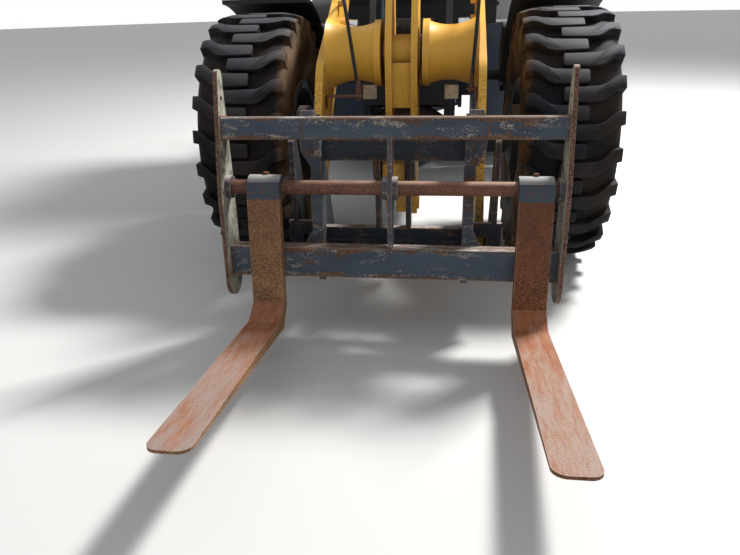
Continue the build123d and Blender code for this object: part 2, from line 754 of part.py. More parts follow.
# Cab: a hollow shell of front, side and rear walls, with window and door openings
CAB_LOW = DECK_HIGH + SEAT
CAB_OUTLINE = [
    (-90, CAB_LOW),
    (-95, 1500),
    (-200, 2150),
    (-60, CAB_TOP),
    (1180, CAB_TOP),
    (1280, 2200),
    (1280, CAB_LOW),
]
DOOR_REAR = 760
DOOR_OUTLINE = [
    (-5, CAB_LOW + 60),
    (-15, 1510),
    (-115, 2150),
    (10, CAB_TOP - 80),
    (DOOR_REAR, CAB_TOP - 80),
    (DOOR_REAR, CAB_LOW + 60),
]
REAR_PANE = [
    (DOOR_REAR + 90, 1700),
    (DOOR_REAR + 90, 3020),
    (1110, 3020),
    (1190, 2200),
    (1190, 1700),
]
DOOR_PANE = [(75, 1600), (-25, 2160), (85, 2960), (DOOR_REAR - 80, 2960), (DOOR_REAR - 80, 1600)]
FIXED_PANE = [(75, 1600), (-25, 2160), (85, 3020), (DOOR_REAR, 3020), (DOOR_REAR, 1600)]
FRONT_PANE_HALF = CAB_HALF - 90
FRONT_PANE_LOW = 1560
BACK_PANE_HALF = CAB_HALF - 140
BACK_PANE_LOW = 2230
PANE_HIGH = 3040
PANE_T = 6


def grown(outline, amount):
    with BuildSketch() as outcome:
        add(outline)
        offset(amount=amount, kind=Kind.INTERSECTION)
    return outcome.sketch


cab_outline = polygon(*CAB_OUTLINE)
cab_inside = grown(cab_outline, -CAB_WALL)
door_hole = polygon(*DOOR_OUTLINE)
with BuildPart() as cab_shell:
    slab(cab_outline, -CAB_HALF, CAB_HALF, REAR_SIDE)
    inner_half = CAB_HALF - CAB_WALL
    slab(cab_inside, -inner_half, inner_half, REAR_SIDE, Mode.SUBTRACT)
    block((-inner_half, 0, CAB_TOP - 60), (inner_half, 1130, CAB_TOP + 1), Mode.SUBTRACT)
    block((-inner_half, 0, CAB_LOW - 1), (inner_half, 1200, CAB_LOW + 60), Mode.SUBTRACT)
    slab(door_hole, inner_half - 1, CAB_HALF + 1, REAR_SIDE, Mode.SUBTRACT)
    slab(polygon(*FIXED_PANE), -CAB_HALF - 1, -inner_half + 1, REAR_SIDE, Mode.SUBTRACT)
    for x_in in (inner_half - 1, -CAB_HALF - 1):
        slab(polygon(*REAR_PANE), x_in, x_in + CAB_WALL + 2, REAR_SIDE, Mode.SUBTRACT)
    low = (-FRONT_PANE_HALF, -300, FRONT_PANE_LOW)
    block(low, (FRONT_PANE_HALF, 90, PANE_HIGH), Mode.SUBTRACT)
    low = (-BACK_PANE_HALF, 1000, BACK_PANE_LOW)
    block(low, (BACK_PANE_HALF, 1400, PANE_HIGH), Mode.SUBTRACT)
    for z in (CAB_LOW + 300, CAB_TOP - 350):
        layer(disc((CAB_HALF + 15, DOOR_REAR + 15), 14), z - 60, z - 20)
        block((CAB_HALF - 5, DOOR_REAR + 14, z - 60), (CAB_HALF + 15, DOOR_REAR + 28, z - 20))
        layer(disc((CAB_HALF + 15, DOOR_REAR + 15), 8), z - 20, z + 30)
finish(cab_shell, "cab_shell")

# Cab door in the left wall, on two knuckles at its rear edge
with BuildPart() as cab_door:
    slab(grown(door_hole, -RUN), inner_half, CAB_HALF, REAR_SIDE)
    slab(polygon(*DOOR_PANE), inner_half - 1, CAB_HALF + 1, REAR_SIDE, Mode.SUBTRACT)
    for z in (CAB_LOW + 300, CAB_TOP - 350):
        block((CAB_HALF - 1, DOOR_REAR - 70, z - 18), (CAB_HALF + 15, DOOR_REAR - 20, z + 30))
        block((CAB_HALF + RUN, DOOR_REAR - 25, z - 18), (CAB_HALF + 15, DOOR_REAR + 15, z + 30))
        layer(disc((CAB_HALF + 15, DOOR_REAR + 15), 14), z - 18, z + 30)
        layer(disc((CAB_HALF + 15, DOOR_REAR + 15), 8 + PIN_FIT), z - 19, z + 31, Mode.SUBTRACT)
    block((CAB_HALF, 90, 1480), (CAB_HALF + 30, 230, 1510))
finish(cab_door, "cab_door")

# Window panes
with BuildPart() as door_glass:
    pane_x = CAB_HALF - CAB_WALL / 2 - PANE_T / 2
    slab(grown(polygon(*DOOR_PANE), -SEAT), pane_x, pane_x + PANE_T, REAR_SIDE)
finish(door_glass, "door_glass")

with BuildPart() as cab_glass:
    pane_depth = CAB_WALL / 2 - PANE_T / 2
    for outline, x_in in (
        (FIXED_PANE, -pane_x - PANE_T),
        (REAR_PANE, -pane_x - PANE_T),
        (REAR_PANE, pane_x),
    ):
        slab(grown(polygon(*outline), -SEAT), x_in, x_in + PANE_T, REAR_SIDE)
    with BuildSketch() as skin:
        add(grown(cab_outline, -pane_depth))
        add(grown(cab_outline, -pane_depth - PANE_T), mode=Mode.SUBTRACT)
    with BuildSketch() as front_strip:
        add(skin.sketch)
        add(box_outline((-300, FRONT_PANE_LOW + SEAT), (90, PANE_HIGH - SEAT)), mode=Mode.INTERSECT)
    slab(front_strip.sketch, -FRONT_PANE_HALF + SEAT, FRONT_PANE_HALF - SEAT, REAR_SIDE)
    with BuildSketch() as back_strip:
        add(skin.sketch)
        add(box_outline((1000, BACK_PANE_LOW + SEAT), (1400, PANE_HIGH - SEAT)), mode=Mode.INTERSECT)
    slab(back_strip.sketch, -BACK_PANE_HALF + SEAT, BACK_PANE_HALF - SEAT, REAR_SIDE)
finish(cab_glass, "cab_glass")

# Grab rails: a tube along each front pillar, on two feet
with BuildPart() as grab_rails:
    rail_wall = CAB_HALF + SEAT
    rail_x = rail_wall + RAIL_STANDOFF
    low_end, high_end = [Vector(rail_x, *end) for end in RAIL_ENDS]
    along = high_end - low_end
    rod_along(Plane(origin=low_end, x_dir=(1, 0, 0), z_dir=along), -30, along.length + 30, RAIL_R)
    for y, z in RAIL_ENDS:
        low = (rail_wall, y - RAIL_FOOT_HALF, z - RAIL_FOOT_HALF)
        block(low, (rail_x, y + RAIL_FOOT_HALF, z + RAIL_FOOT_HALF))
        block((rail_wall, y - 22, z - 30), (rail_wall + 6, y + 22, z + 30))
    mirror(about=Plane.YZ)
finish(grab_rails, "grab_rails")

# Mirrors: a head on an arm that leans ahead from each front pillar
with BuildPart() as mirrors:
    foot = Vector(CAB_HALF + SEAT, MIRROR_FOOT_Y, MIRROR_ARM_Z)
    rod_along(Plane(origin=foot, x_dir=(0, 1, 0), z_dir=(1, 0, 0)), 0, 12, RAIL_R + 14)
    knee = Vector(MIRROR_X, MIRROR_Y, MIRROR_ARM_Z)
    reach = knee - foot
    rod_along(Plane(origin=foot, x_dir=(0, 0, 1), z_dir=reach), 8, reach.length, RAIL_R)
    drop = Plane(origin=knee, x_dir=(1, 0, 0), z_dir=(0, 0, -1))
    rod_along(drop, -RAIL_R - 4, 60, RAIL_R + 2)
    head_y = MIRROR_Y - MIRROR_D / 2
    head_high = MIRROR_ARM_Z - 40
    with BuildSketch(Plane.XZ.offset(-head_y)) as head:
        with Locations((MIRROR_X, head_high - MIRROR_H / 2)):
            RectangleRounded(MIRROR_W, MIRROR_H, 30)
    extrude(head.sketch, amount=-MIRROR_D)
    mirror(about=Plane.YZ)
finish(mirrors, "mirrors")

# Cab roof with an overhang in front
with BuildPart() as cab_roof:
    roof_low = CAB_TOP + SEAT
    roof_side = polygon(
        (-190, roof_low),
        (-190, roof_low + 70),
        (-120, roof_low + ROOF_T),
        (1180, roof_low + ROOF_T),
        (1250, roof_low + 60),
        (1250, roof_low),
    )
    slab(roof_side, -CAB_HALF - 10, CAB_HALF + 10, REAR_SIDE)
finish(cab_roof, "cab_roof")

# Driver's seat: a pedestal, a cushion and a backrest in one piece
with BuildPart() as seat:
    block((-190, 620, CAB_LOW), (190, 980, CAB_LOW + 330))
    block((-250, 540, CAB_LOW + 330), (250, 1050, CAB_LOW + 450))
    back = polygon(
        (950, CAB_LOW + 450),
        (1040, CAB_LOW + 1080),
        (1130, CAB_LOW + 1080),
        (1060, CAB_LOW + 400),
    )
    slab(back, -230, 230, REAR_SIDE)
finish(seat, "seat")

# Steering column with its wheel and a dash
with BuildPart() as console:
    block((-260, 30, CAB_LOW), (260, 130, CAB_LOW + 160))
    column = polygon(
        (60, CAB_LOW),
        (60, CAB_LOW + 400),
        (180, CAB_LOW + 690),
        (240, CAB_LOW + 665),
        (130, CAB_LOW + 380),
        (130, CAB_LOW),
    )
    slab(column, -60, 60, REAR_SIDE)
    wheel_centre = Plane(origin=(0, 225, CAB_LOW + 690), x_dir=(1, 0, 0), z_dir=(0, 0.42, 0.91))
    with BuildSketch(wheel_centre) as ring:
        Circle(200)
        Circle(170, mode=Mode.SUBTRACT)
        Rectangle(360, 40)
    extrude(amount=24, both=True)
finish(console, "console")

# Boom: two arms, a waisted cross tube on the crank's axis and the crank's ears on a yoke
with BuildPart() as boom:
    arm = chain_of(
        (*ARM_PIVOT, ARM_PIVOT_R), ARM_ELBOW, ARM_KNEE, (*ARM_TIP, ARM_TIP_R)
    )
    slab(arm, ARM_IN, ARM_OUT)
    lift_boss_in = LIFT_X + LIFT_EYE_HALF + 5
    slab(disc(LIFT_HEAD, 70), lift_boss_in, ARM_IN)
    tube_plane = Plane(
        origin=(0, -CRANK_PIVOT[0], CRANK_PIVOT[1]), x_dir=(1, 0, 0), z_dir=(0, -1, 0)
    )
    with BuildSketch(tube_plane) as tube_half:
        with BuildLine():
            waist = (CRANK_EAR_OUT + ARM_IN) / 2
            arc = ThreePointArc((CRANK_EAR_OUT, TUBE_R - 5), (waist, TUBE_WAIST_R), (ARM_IN, TUBE_R + 20))
            Polyline(arc @ 1, (ARM_IN, 0), (CRANK_EAR_OUT, 0), arc @ 0)
        make_face()
    revolve(axis=Axis(tube_plane.origin, (1, 0, 0)))
    ear = hull_of((*CRANK_PIVOT, CRANK_EAR_R), (1765, 1120, 25), (1765, 1210, 25))
    slab(ear, CRANK_EAR_IN, CRANK_EAR_OUT)
    mirror(about=Plane.YZ)
    slab(box_outline((1740, 1095), (1785, 1235)), -CRANK_EAR_OUT, CRANK_EAR_OUT)
    slab(disc(CRANK_PIVOT, CRANK_PIN_R + PIN_FIT), -CRANK_EAR_OUT, CRANK_EAR_OUT, mode=Mode.SUBTRACT)
    for centre, bore in ((ARM_PIVOT, ARM_PIN_R + PIN_FIT), (ARM_TIP, TIP_PIN_R + PIN_FIT)):
        slab(disc(centre, bore), ARM_IN, ARM_OUT, mode=Mode.SUBTRACT)
        slab(disc(centre, bore), -ARM_OUT, -ARM_IN, mode=Mode.SUBTRACT)
finish(boom, "boom")

# Crank pin between the cross tube's ears
with BuildPart() as crank_pin:
    slab(disc(CRANK_PIVOT, CRANK_PIN_R), -CRANK_EAR_OUT + SEAT, CRANK_EAR_OUT - SEAT)
finish(crank_pin, "crank_pin")

# Bell crank: twin plates round a boss, with a web in the lower arm
with BuildPart() as bell_crank:
    plate = chain_of(
        (*CRANK_TOP, CRANK_TOP_R), (*CRANK_PIVOT, CRANK_HUB_R), (*CRANK_LOW, CRANK_LOW_R)
    )
    slab(plate, CRANK_IN, CRANK_OUT)
    for centre in (CRANK_TOP, CRANK_LOW):
        slab(disc(centre, 42), CRANK_OUT, CRANK_OUT + 12)
    mirror(about=Plane.YZ)
    slab(disc(CRANK_PIVOT, CRANK_BOSS_R), -CRANK_OUT - 12, CRANK_OUT + 12)
    web_top = CRANK_PIVOT[1] - 40
    web_foot = CRANK_PIVOT[1] - 270
    web = polygon(
        (CRANK_PIVOT[0] + 95, web_top),
        (CRANK_PIVOT[0] + 130, web_top),
        (CRANK_PIVOT[0] + 125, web_foot),
        (CRANK_PIVOT[0] + 90, web_foot),
    )
    slab(web, -CRANK_IN, CRANK_IN)
    bore = CRANK_PIN_R + PIN_FIT
    slab(disc(CRANK_PIVOT, bore), -CRANK_OUT - 13, CRANK_OUT + 13, mode=Mode.SUBTRACT)
finish(bell_crank, "bell_crank")

# Tip pins through the arms and the coupler's cheeks
with BuildPart() as tip_pins:
    slab(disc(ARM_TIP, TIP_PIN_R), CHEEK_IN - 5, CHEEK_OUT + CHEEK_T + 10)
    mirror(about=Plane.YZ)
finish(tip_pins, "tip_pins")

# Quick coupler: top box, lower bar, four cheeks, two link ears and slotted front plates
with BuildPart() as quick_coupler:
    face_back = COUPLER_FACE - 20
    cheek = hull_of((*ARM_TIP, 90), (COUPLER_FACE - 40, 920, 40), (COUPLER_FACE - 30, 370, 30))
    for x_in in (CHEEK_IN, CHEEK_OUT):
        slab(cheek, x_in, x_in + CHEEK_T)
    ear_out = LINK_EAR_IN + LINK_EAR_T
    slab(hull_of((*LINK_PIVOT, LINK_EAR_R), (2605, 905, 45), (2625, 870, 35)), LINK_EAR_IN, ear_out)
    slab(box_outline((2600, 440), (COUPLER_FACE, 900)), LINK_EAR_IN, ear_out)
    plate_low = 330
    plate_high = 560
    front_plate = box_outline((face_back, plate_low), (COUPLER_FACE, plate_high))
    slab(front_plate, CHEEK_IN + CHEEK_T, CHEEK_OUT + CHEEK_T + 25)
    slot_top = 490
    block(
        (ARM_IN - 10, -COUPLER_FACE - 1, plate_low - 1),
        (ARM_OUT + 10, -face_back + 1, slot_top),
        Mode.SUBTRACT,
    )
    mirror(about=Plane.YZ)
    box_back = COUPLER_FACE - COUPLER_BOX_D
    box_low = COUPLER_TOP - COUPLER_BOX_H
    top_box = polygon(
        (COUPLER_FACE, box_low),
        (COUPLER_FACE, COUPLER_TOP),
        (box_back, COUPLER_TOP),
        (box_back, box_low + 50),
        (box_back + 60, box_low),
    )
    slab(top_box, -CHEEK_IN, CHEEK_IN)
    slab(box_outline((COUPLER_FACE - 40, 440), (COUPLER_FACE, 530)), -CHEEK_IN, CHEEK_IN)
    for x_in in (CHEEK_IN, CHEEK_OUT, -CHEEK_IN - CHEEK_T, -CHEEK_OUT - CHEEK_T):
        slab(disc(ARM_TIP, TIP_PIN_R + PIN_FIT), x_in, x_in + CHEEK_T, mode=Mode.SUBTRACT)
    slab(disc(LINK_PIVOT, LINK_PIN_R + PIN_FIT), -ear_out, ear_out, mode=Mode.SUBTRACT)
finish(quick_coupler, "quick_coupler")

# Tilt link and the pin that carries it in the coupler's ears
with BuildPart() as link_pin:
    cap_in = LINK_EAR_IN + LINK_EAR_T + SEAT
    slab(disc(LINK_PIVOT, LINK_BUSH_R), -LINK_EYE_HALF, LINK_EYE_HALF)
    slab(disc(LINK_PIVOT, LINK_PIN_R), 0, cap_in)
    slab(disc(LINK_PIVOT, LINK_CAP_R), cap_in, cap_in + LINK_CAP_T)
    mirror(about=Plane.YZ)
finish(link_pin, "link_pin")

with BuildPart() as tilt_link:
    slab(disc(LINK_PIVOT, LINK_EYE_R), -LINK_EYE_HALF, LINK_EYE_HALF)
    slab(disc(CRANK_LOW, LINK_END_R), -LINK_HALF, LINK_HALF)
    slab(hull_of((*LINK_PIVOT, LINK_SHANK_R), (*CRANK_LOW, LINK_SHANK_R)), -LINK_HALF + 5, LINK_HALF - 5)
    slab(disc(LINK_PIVOT, LINK_BUSH_R + PIN_FIT), -60, 60, mode=Mode.SUBTRACT)
    slab(disc(CRANK_LOW, LINK_REAR_PIN_R), -60, 60, mode=Mode.SUBTRACT)
finish(tilt_link, "tilt_link")

# Fork carriage: two bars, side plates, a centre rib and the ears that hook on the coupler
with BuildPart() as fork_frame:
    side_plate = chain_of((8, 490, 28), (0, 40, 80), (0, -30, 85), (-30, -440, 90))
    slab(side_plate, CARRIAGE_HALF, CARRIAGE_HALF + SIDE_T, CARRIAGE_SIDE)
    slab(disc((0, 0), 52), CARRIAGE_HALF - 25, CARRIAGE_HALF, CARRIAGE_SIDE)
    ears = polygon(
        (-150, 330),
        (-105, 340),
        (-48, 230),
        (-48, 180),
        (EAR_FRONT, 120),
        (EAR_FRONT, -260),
        (-60, -300),
        (-60, -420),
        (-105, -470),
        (-172, -470),
    )
    slab(ears, EAR_IN, EAR_IN + EAR_T, CARRIAGE_SIDE)
    ear_face = polygon(
        (EAR_IN, LOW_BAR_V + 60),
        (EAR_FACE_WIDE, LOW_BAR_V + 60),
        (EAR_FACE_OUT, LOW_BAR_V + 140),
        (EAR_FACE_OUT, TOP_BAR_V - 180),
        (EAR_FACE_WIDE, TOP_BAR_V - 110),
        (EAR_FACE_WIDE, TOP_BAR_V - 20),
        (EAR_IN, TOP_BAR_V - 20),
    )
    with BuildSketch(CARRIAGE_FACE.offset(EAR_FRONT - EAR_FACE_T + 1)) as placed:
        add(ear_face)
    extrude(placed.sketch, amount=EAR_FACE_T)
    half_d = TOP_BAR_D / 2
    half_h = TOP_BAR_H / 2
    gusset = polygon(
        (EAR_FRONT - 1, TOP_BAR_V - 110),
        (-half_d + 1, TOP_BAR_V - half_h + 1),
        (-half_d + 1, TOP_BAR_V - 20),
        (EAR_FRONT - 1, TOP_BAR_V - 20),
    )
    slab(gusset, EAR_IN, EAR_FACE_WIDE, CARRIAGE_SIDE)
    hook_cap = polygon(
        (-half_d - 20, TOP_BAR_V + 10),
        (-half_d - 20, TOP_BAR_V + half_h + 15),
        (-half_d, TOP_BAR_V + half_h + CAP_RISE),
        (-8, TOP_BAR_V + half_h + CAP_RISE),
        (8, TOP_BAR_V + half_h - 5),
    )
    slab(hook_cap, EAR_IN + 15, EAR_IN + 75, CARRIAGE_SIDE)
    side_hole = disc(SIDE_HOLE[:2], SIDE_HOLE[2])
    slab(side_hole, CARRIAGE_HALF, CARRIAGE_HALF + SIDE_T, CARRIAGE_SIDE, Mode.SUBTRACT)
    mirror(about=Plane.YZ)
    rib = chain_of((5, 250, 40), (0, 0, 60), (-30, -350, 45))
    slab(rib, -10, 10, CARRIAGE_SIDE)
    slab(disc((0, 0), 52), -CENTRE_COLLAR, CENTRE_COLLAR, CARRIAGE_SIDE)
    top_bar = polygon(
        (-half_d, TOP_BAR_V - half_h),
        (half_d, TOP_BAR_V - half_h),
        (half_d, TOP_BAR_V + half_h),
        (-half_d, TOP_BAR_V + half_h),
        rounded=18,
    )
    slab(top_bar, -CARRIAGE_HALF, CARRIAGE_HALF, CARRIAGE_SIDE)
    low_bar = box_outline(
        (LOW_BAR_FACE - LOW_BAR_D, LOW_BAR_V - LOW_BAR_H / 2),
        (LOW_BAR_FACE, LOW_BAR_V + LOW_BAR_H / 2),
    )
    slab(low_bar, -CARRIAGE_HALF, CARRIAGE_HALF, CARRIAGE_SIDE)
    bore = FORK_SHAFT_R + PIN_FIT
    slab(disc((0, 0), bore), -CARRIAGE_HALF - 30, CARRIAGE_HALF + 30, CARRIAGE_SIDE, Mode.SUBTRACT)
    slab(box_outline((2000, 0), (COUPLER_FACE + SEAT, 1500)), -800, 800, mode=Mode.SUBTRACT)
finish(fork_frame, "fork_frame")

with BuildPart() as fork_shaft:
    slab(disc((0, 0), FORK_SHAFT_R), -CARRIAGE_HALF - SIDE_T, CARRIAGE_HALF + SIDE_T, CARRIAGE_SIDE)
finish(fork_shaft, "fork_shaft")

# Forks: an eye on the shaft, an upright shank and a tapering blade
for place, fork_x in (("left", FORK_LEFT_X), ("right", -FORK_RIGHT_X)):
    with BuildPart() as fork:
        inner = fork_x - FORK_W / 2
        front = FORK_BACK + FORK_T
        shank = polygon(
            (FORK_BACK, 30),
            (FORK_BACK, -FORK_DROP + 90),
            (FORK_BACK + 70, -FORK_DROP),
            (FORK_REACH, -FORK_DROP + 25),
            (FORK_REACH, -FORK_DROP + 37),
            (front + 90, -FORK_DROP + 55),
            (front, -FORK_DROP + 120),
            (front, 0),
            (front - 12, 30),
        )
        slab(shank, inner, inner + FORK_W, CARRIAGE_SIDE)
        slab(disc((0, 0), FORK_EYE_R), inner, inner + FORK_W, CARRIAGE_SIDE)
        bore = FORK_SHAFT_R + PIN_FIT
        slab(disc((0, 0), bore), inner, inner + FORK_W, CARRIAGE_SIDE, Mode.SUBTRACT)
        tip_edges = fork.edges().filter_by(lambda e: e.length < 20).group_by(Axis.Y)[0]
        fillet(tip_edges, radius=45)
    finish(fork, f"fork_{place}")


# Hydraulic cylinders: a barrel bored for its rod, and a rod that ends in an eye
def cylinder(name, foot, head, x, barrel, rod, mirrored=False):
    axis = aim(foot, head, x)
    span = ((head[0] - foot[0]) ** 2 + (head[1] - foot[1]) ** 2) ** 0.5
    with BuildPart() as body:
        slab(disc(foot, barrel["eye"]), x - barrel["half"], x + barrel["half"])
        rod_along(axis, barrel["pin"] + 15, barrel["length"], barrel["radius"])
        rod_along(axis, barrel["pin"] + 45, barrel["length"] + 1, rod["radius"] + PIN_FIT, Mode.SUBTRACT)
        slab(disc(foot, barrel["pin"] + PIN_FIT), x - 100, x + 100, mode=Mode.SUBTRACT)
        if mirrored:
            mirror(about=Plane.YZ, mode=Mode.REPLACE)
    finish(body, name.format("barrel"))
    with BuildPart() as body:
        slab(disc(head, rod["eye"]), x - rod["half"], x + rod["half"])
        rod_along(axis, span - rod["length"], span - (rod["pin"] + rod["eye"]) / 2, rod["radius"])
        slab(disc(head, rod["pin"]), x - 100, x + 100, mode=Mode.SUBTRACT)
        if mirrored:
            mirror(about=Plane.YZ, mode=Mode.REPLACE)
    finish(body, name.format("rod"))


LIFT_BARREL_SIZES = {
    "eye": 62,
    "half": LIFT_EYE_HALF,
    "pin": LIFT_PIN_R,
    "length": LIFT_BARREL,
    "radius": LIFT_BARREL_R,
}
LIFT_ROD_SIZES = {
    "eye": 58,
    "half": LIFT_EYE_HALF,
    "pin": 30,
    "length": LIFT_ROD,
    "radius": LIFT_ROD_R,
}
TILT_BARREL_SIZES = {
    "eye": 72,
    "half": 60,
    "pin": TILT_PIN_R,
    "length": TILT_BARREL,
    "radius": TILT_BARREL_R,
}
TILT_ROD_SIZES = {
    "eye": 68,
    "half": TILT_EYE_HALF,
    "pin": 38,
    "length": TILT_ROD,
    "radius": TILT_ROD_R,
}
cylinder("lift_{}_left", LIFT_FOOT, LIFT_HEAD, LIFT_X, LIFT_BARREL_SIZES, LIFT_ROD_SIZES)
cylinder("lift_{}_right", LIFT_FOOT, LIFT_HEAD, LIFT_X, LIFT_BARREL_SIZES, LIFT_ROD_SIZES, True)
cylinder("tilt_{}", TILT_FOOT, CRANK_TOP, 0, TILT_BARREL_SIZES, TILT_ROD_SIZES)

# Steering cylinders, lying across the articulation joint at one height
for place, hand in (("left", 1), ("right", -1)):
    rear_pin = (hand * STEER_REAR[0], STEER_REAR[1])
    front_pin = (hand * STEER_FRONT[0], -STEER_FRONT[1])
    run = (front_pin[0] - rear_pin[0], front_pin[1] - rear_pin[1])
    span = (run[0] ** 2 + run[1] ** 2) ** 0.5
    axis = Plane(origin=(*rear_pin, STEER_Z), x_dir=(0, 0, 1), z_dir=(*run, 0))
    with BuildPart() as barrel:
        layer(disc(rear_pin, STEER_EYE_R), STEER_Z - STEER_EYE_HALF, STEER_Z + STEER_EYE_HALF)
        rod_along(axis, 35, STEER_BARREL, STEER_BARREL_R)
        rod_along(axis, 60, STEER_BARREL + 1, STEER_ROD_R + PIN_FIT, Mode.SUBTRACT)
        layer(disc(rear_pin, 25 + PIN_FIT), STEER_Z - 60, STEER_Z + 60, Mode.SUBTRACT)
    finish(barrel, f"steer_barrel_{place}")
    with BuildPart() as rod:
        layer(disc(front_pin, STEER_EYE_R), STEER_Z - STEER_EYE_HALF, STEER_Z + STEER_EYE_HALF)
        rod_along(axis, span - STEER_ROD, span - 32, STEER_ROD_R)
        layer(disc(front_pin, 22), STEER_Z - 60, STEER_Z + 60, Mode.SUBTRACT)
    finish(rod, f"steer_rod_{place}")

# Move every piece so that the origin is on the ground under the middle of the machine
boxes = [piece.bounding_box() for piece in pieces]
shift = -(min(box.min.Y for box in boxes) + max(box.max.Y for box in boxes)) / 2
print("Moved along Y by", round(shift, 3))
os.makedirs("parts", exist_ok=True)
for piece in pieces:
    label = piece.label
    moved = Pos(0, shift, 0) * piece
    moved.label = label
    export_step(moved, f"parts/{label}.step")
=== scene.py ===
import math

import bmesh
import bpy
from mathutils import Matrix, Vector


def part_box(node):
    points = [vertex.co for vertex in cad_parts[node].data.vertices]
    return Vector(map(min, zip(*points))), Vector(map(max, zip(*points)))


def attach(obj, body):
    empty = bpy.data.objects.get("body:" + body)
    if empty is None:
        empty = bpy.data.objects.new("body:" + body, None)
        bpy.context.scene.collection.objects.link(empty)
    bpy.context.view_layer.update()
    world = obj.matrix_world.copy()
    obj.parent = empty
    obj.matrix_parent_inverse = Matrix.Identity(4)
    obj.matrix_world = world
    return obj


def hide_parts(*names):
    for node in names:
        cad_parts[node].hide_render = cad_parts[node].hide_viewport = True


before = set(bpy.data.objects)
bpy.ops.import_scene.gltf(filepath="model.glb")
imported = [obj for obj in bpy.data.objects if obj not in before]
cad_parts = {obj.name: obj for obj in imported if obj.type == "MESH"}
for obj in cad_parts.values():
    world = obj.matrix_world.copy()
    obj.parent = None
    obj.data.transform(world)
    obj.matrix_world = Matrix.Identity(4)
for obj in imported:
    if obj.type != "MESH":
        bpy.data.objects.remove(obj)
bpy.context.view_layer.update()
scene = bpy.context.scene
scene.view_settings.view_transform = "Standard"


# Viewpoint and lamp: the camera stands at eye height in front of the machine, a little to its
# left, and looks down on the forks. One broad lamp hangs high behind the machine on its left.
EYE = (0.2440, -4.9675, 1.5484)
EYE_TURN = 7.401
EYE_DOWN = 24.417
EYE_ROLL = -1.536
EYE_LENS = 29.789
SENSOR = 36.0
LAMP_PLACE = (4.6, 2.6, 8.4)
LAMP_TARGET = (0.0, -2.0, 0.6)
LAMP_SIZE = 1.8
LAMP_POWER = 1900.0

eye = bpy.data.cameras.new("eye")
eye.lens = EYE_LENS
eye.sensor_width = SENSOR
eye_object = bpy.data.objects.new("eye", eye)
scene.collection.objects.link(eye_object)
eye_object.matrix_world = (
    Matrix.Translation(EYE)
    @ Matrix.Rotation(math.radians(EYE_TURN), 4, "Z")
    @ Matrix.Rotation(math.radians(90 - EYE_DOWN), 4, "X")
    @ Matrix.Rotation(math.radians(EYE_ROLL), 4, "Z")
)
scene.camera = eye_object

lamp = bpy.data.lights.new("soft_lamp", "AREA")
lamp.size = LAMP_SIZE
lamp.energy = LAMP_POWER
lamp_object = bpy.data.objects.new("soft_lamp", lamp)
scene.collection.objects.link(lamp_object)
lamp_object.location = LAMP_PLACE
lamp_aim = Vector(LAMP_TARGET) - Vector(LAMP_PLACE)
lamp_object.rotation_euler = lamp_aim.to_track_quat("-Z", "Y").to_euler()


# Floor and sky: a plain pale floor under an even sky that fills the shade. The sky is white
# where the camera, a gloss or a pane sees it, and weaker where it lights the machine.
FLOOR_RADIUS = 60.0
FLOOR_SIDES = 96
FLOOR_COLOUR = (0.62, 0.61, 0.59, 1.0)
FLOOR_ROUGHNESS = 0.9
SKY_COLOUR = (0.93, 0.96, 1.0, 1.0)
SKY_WHITE = (1.0, 1.0, 1.0, 1.0)
SKY_LIGHT = 0.55

# Sockets of a Mix node that mixes colours, and the samples of the nodes that look round
MIX_FACTOR, MIX_FIRST, MIX_SECOND, MIX_RESULT = 0, 6, 7, 2
EDGE_SAMPLES = 4
OPENNESS_SAMPLES = 6


# A number or colour on its way through a finish's nodes, on which arithmetic can be written
class Shade:
    def __init__(self, finish, output):
        self.finish = finish
        self.output = output

    def maths(self, operation, *values):
        return self.finish.node("ShaderNodeMath", {"operation": operation}, enumerate(values))

    def __add__(self, other):
        return self.maths("ADD", self, other)

    def __sub__(self, other):
        return self.maths("SUBTRACT", self, other)

    def __rsub__(self, other):
        return self.maths("SUBTRACT", other, self)

    def __mul__(self, other):
        return self.maths("MULTIPLY", self, other)

    __radd__ = __add__
    __rmul__ = __mul__

    def largest(self, other):
        return self.maths("MAXIMUM", self, other)

    def smallest(self, other):
        return self.maths("MINIMUM", self, other)

    def size(self):
        return self.maths("ABSOLUTE", self)

    def ramp(self, low, high):
        sockets = {"Value": self, "From Min": low, "From Max": high}
        smooth = {"interpolation_type": "SMOOTHSTEP"}
        return self.finish.node("ShaderNodeMapRange", smooth, sockets.items())


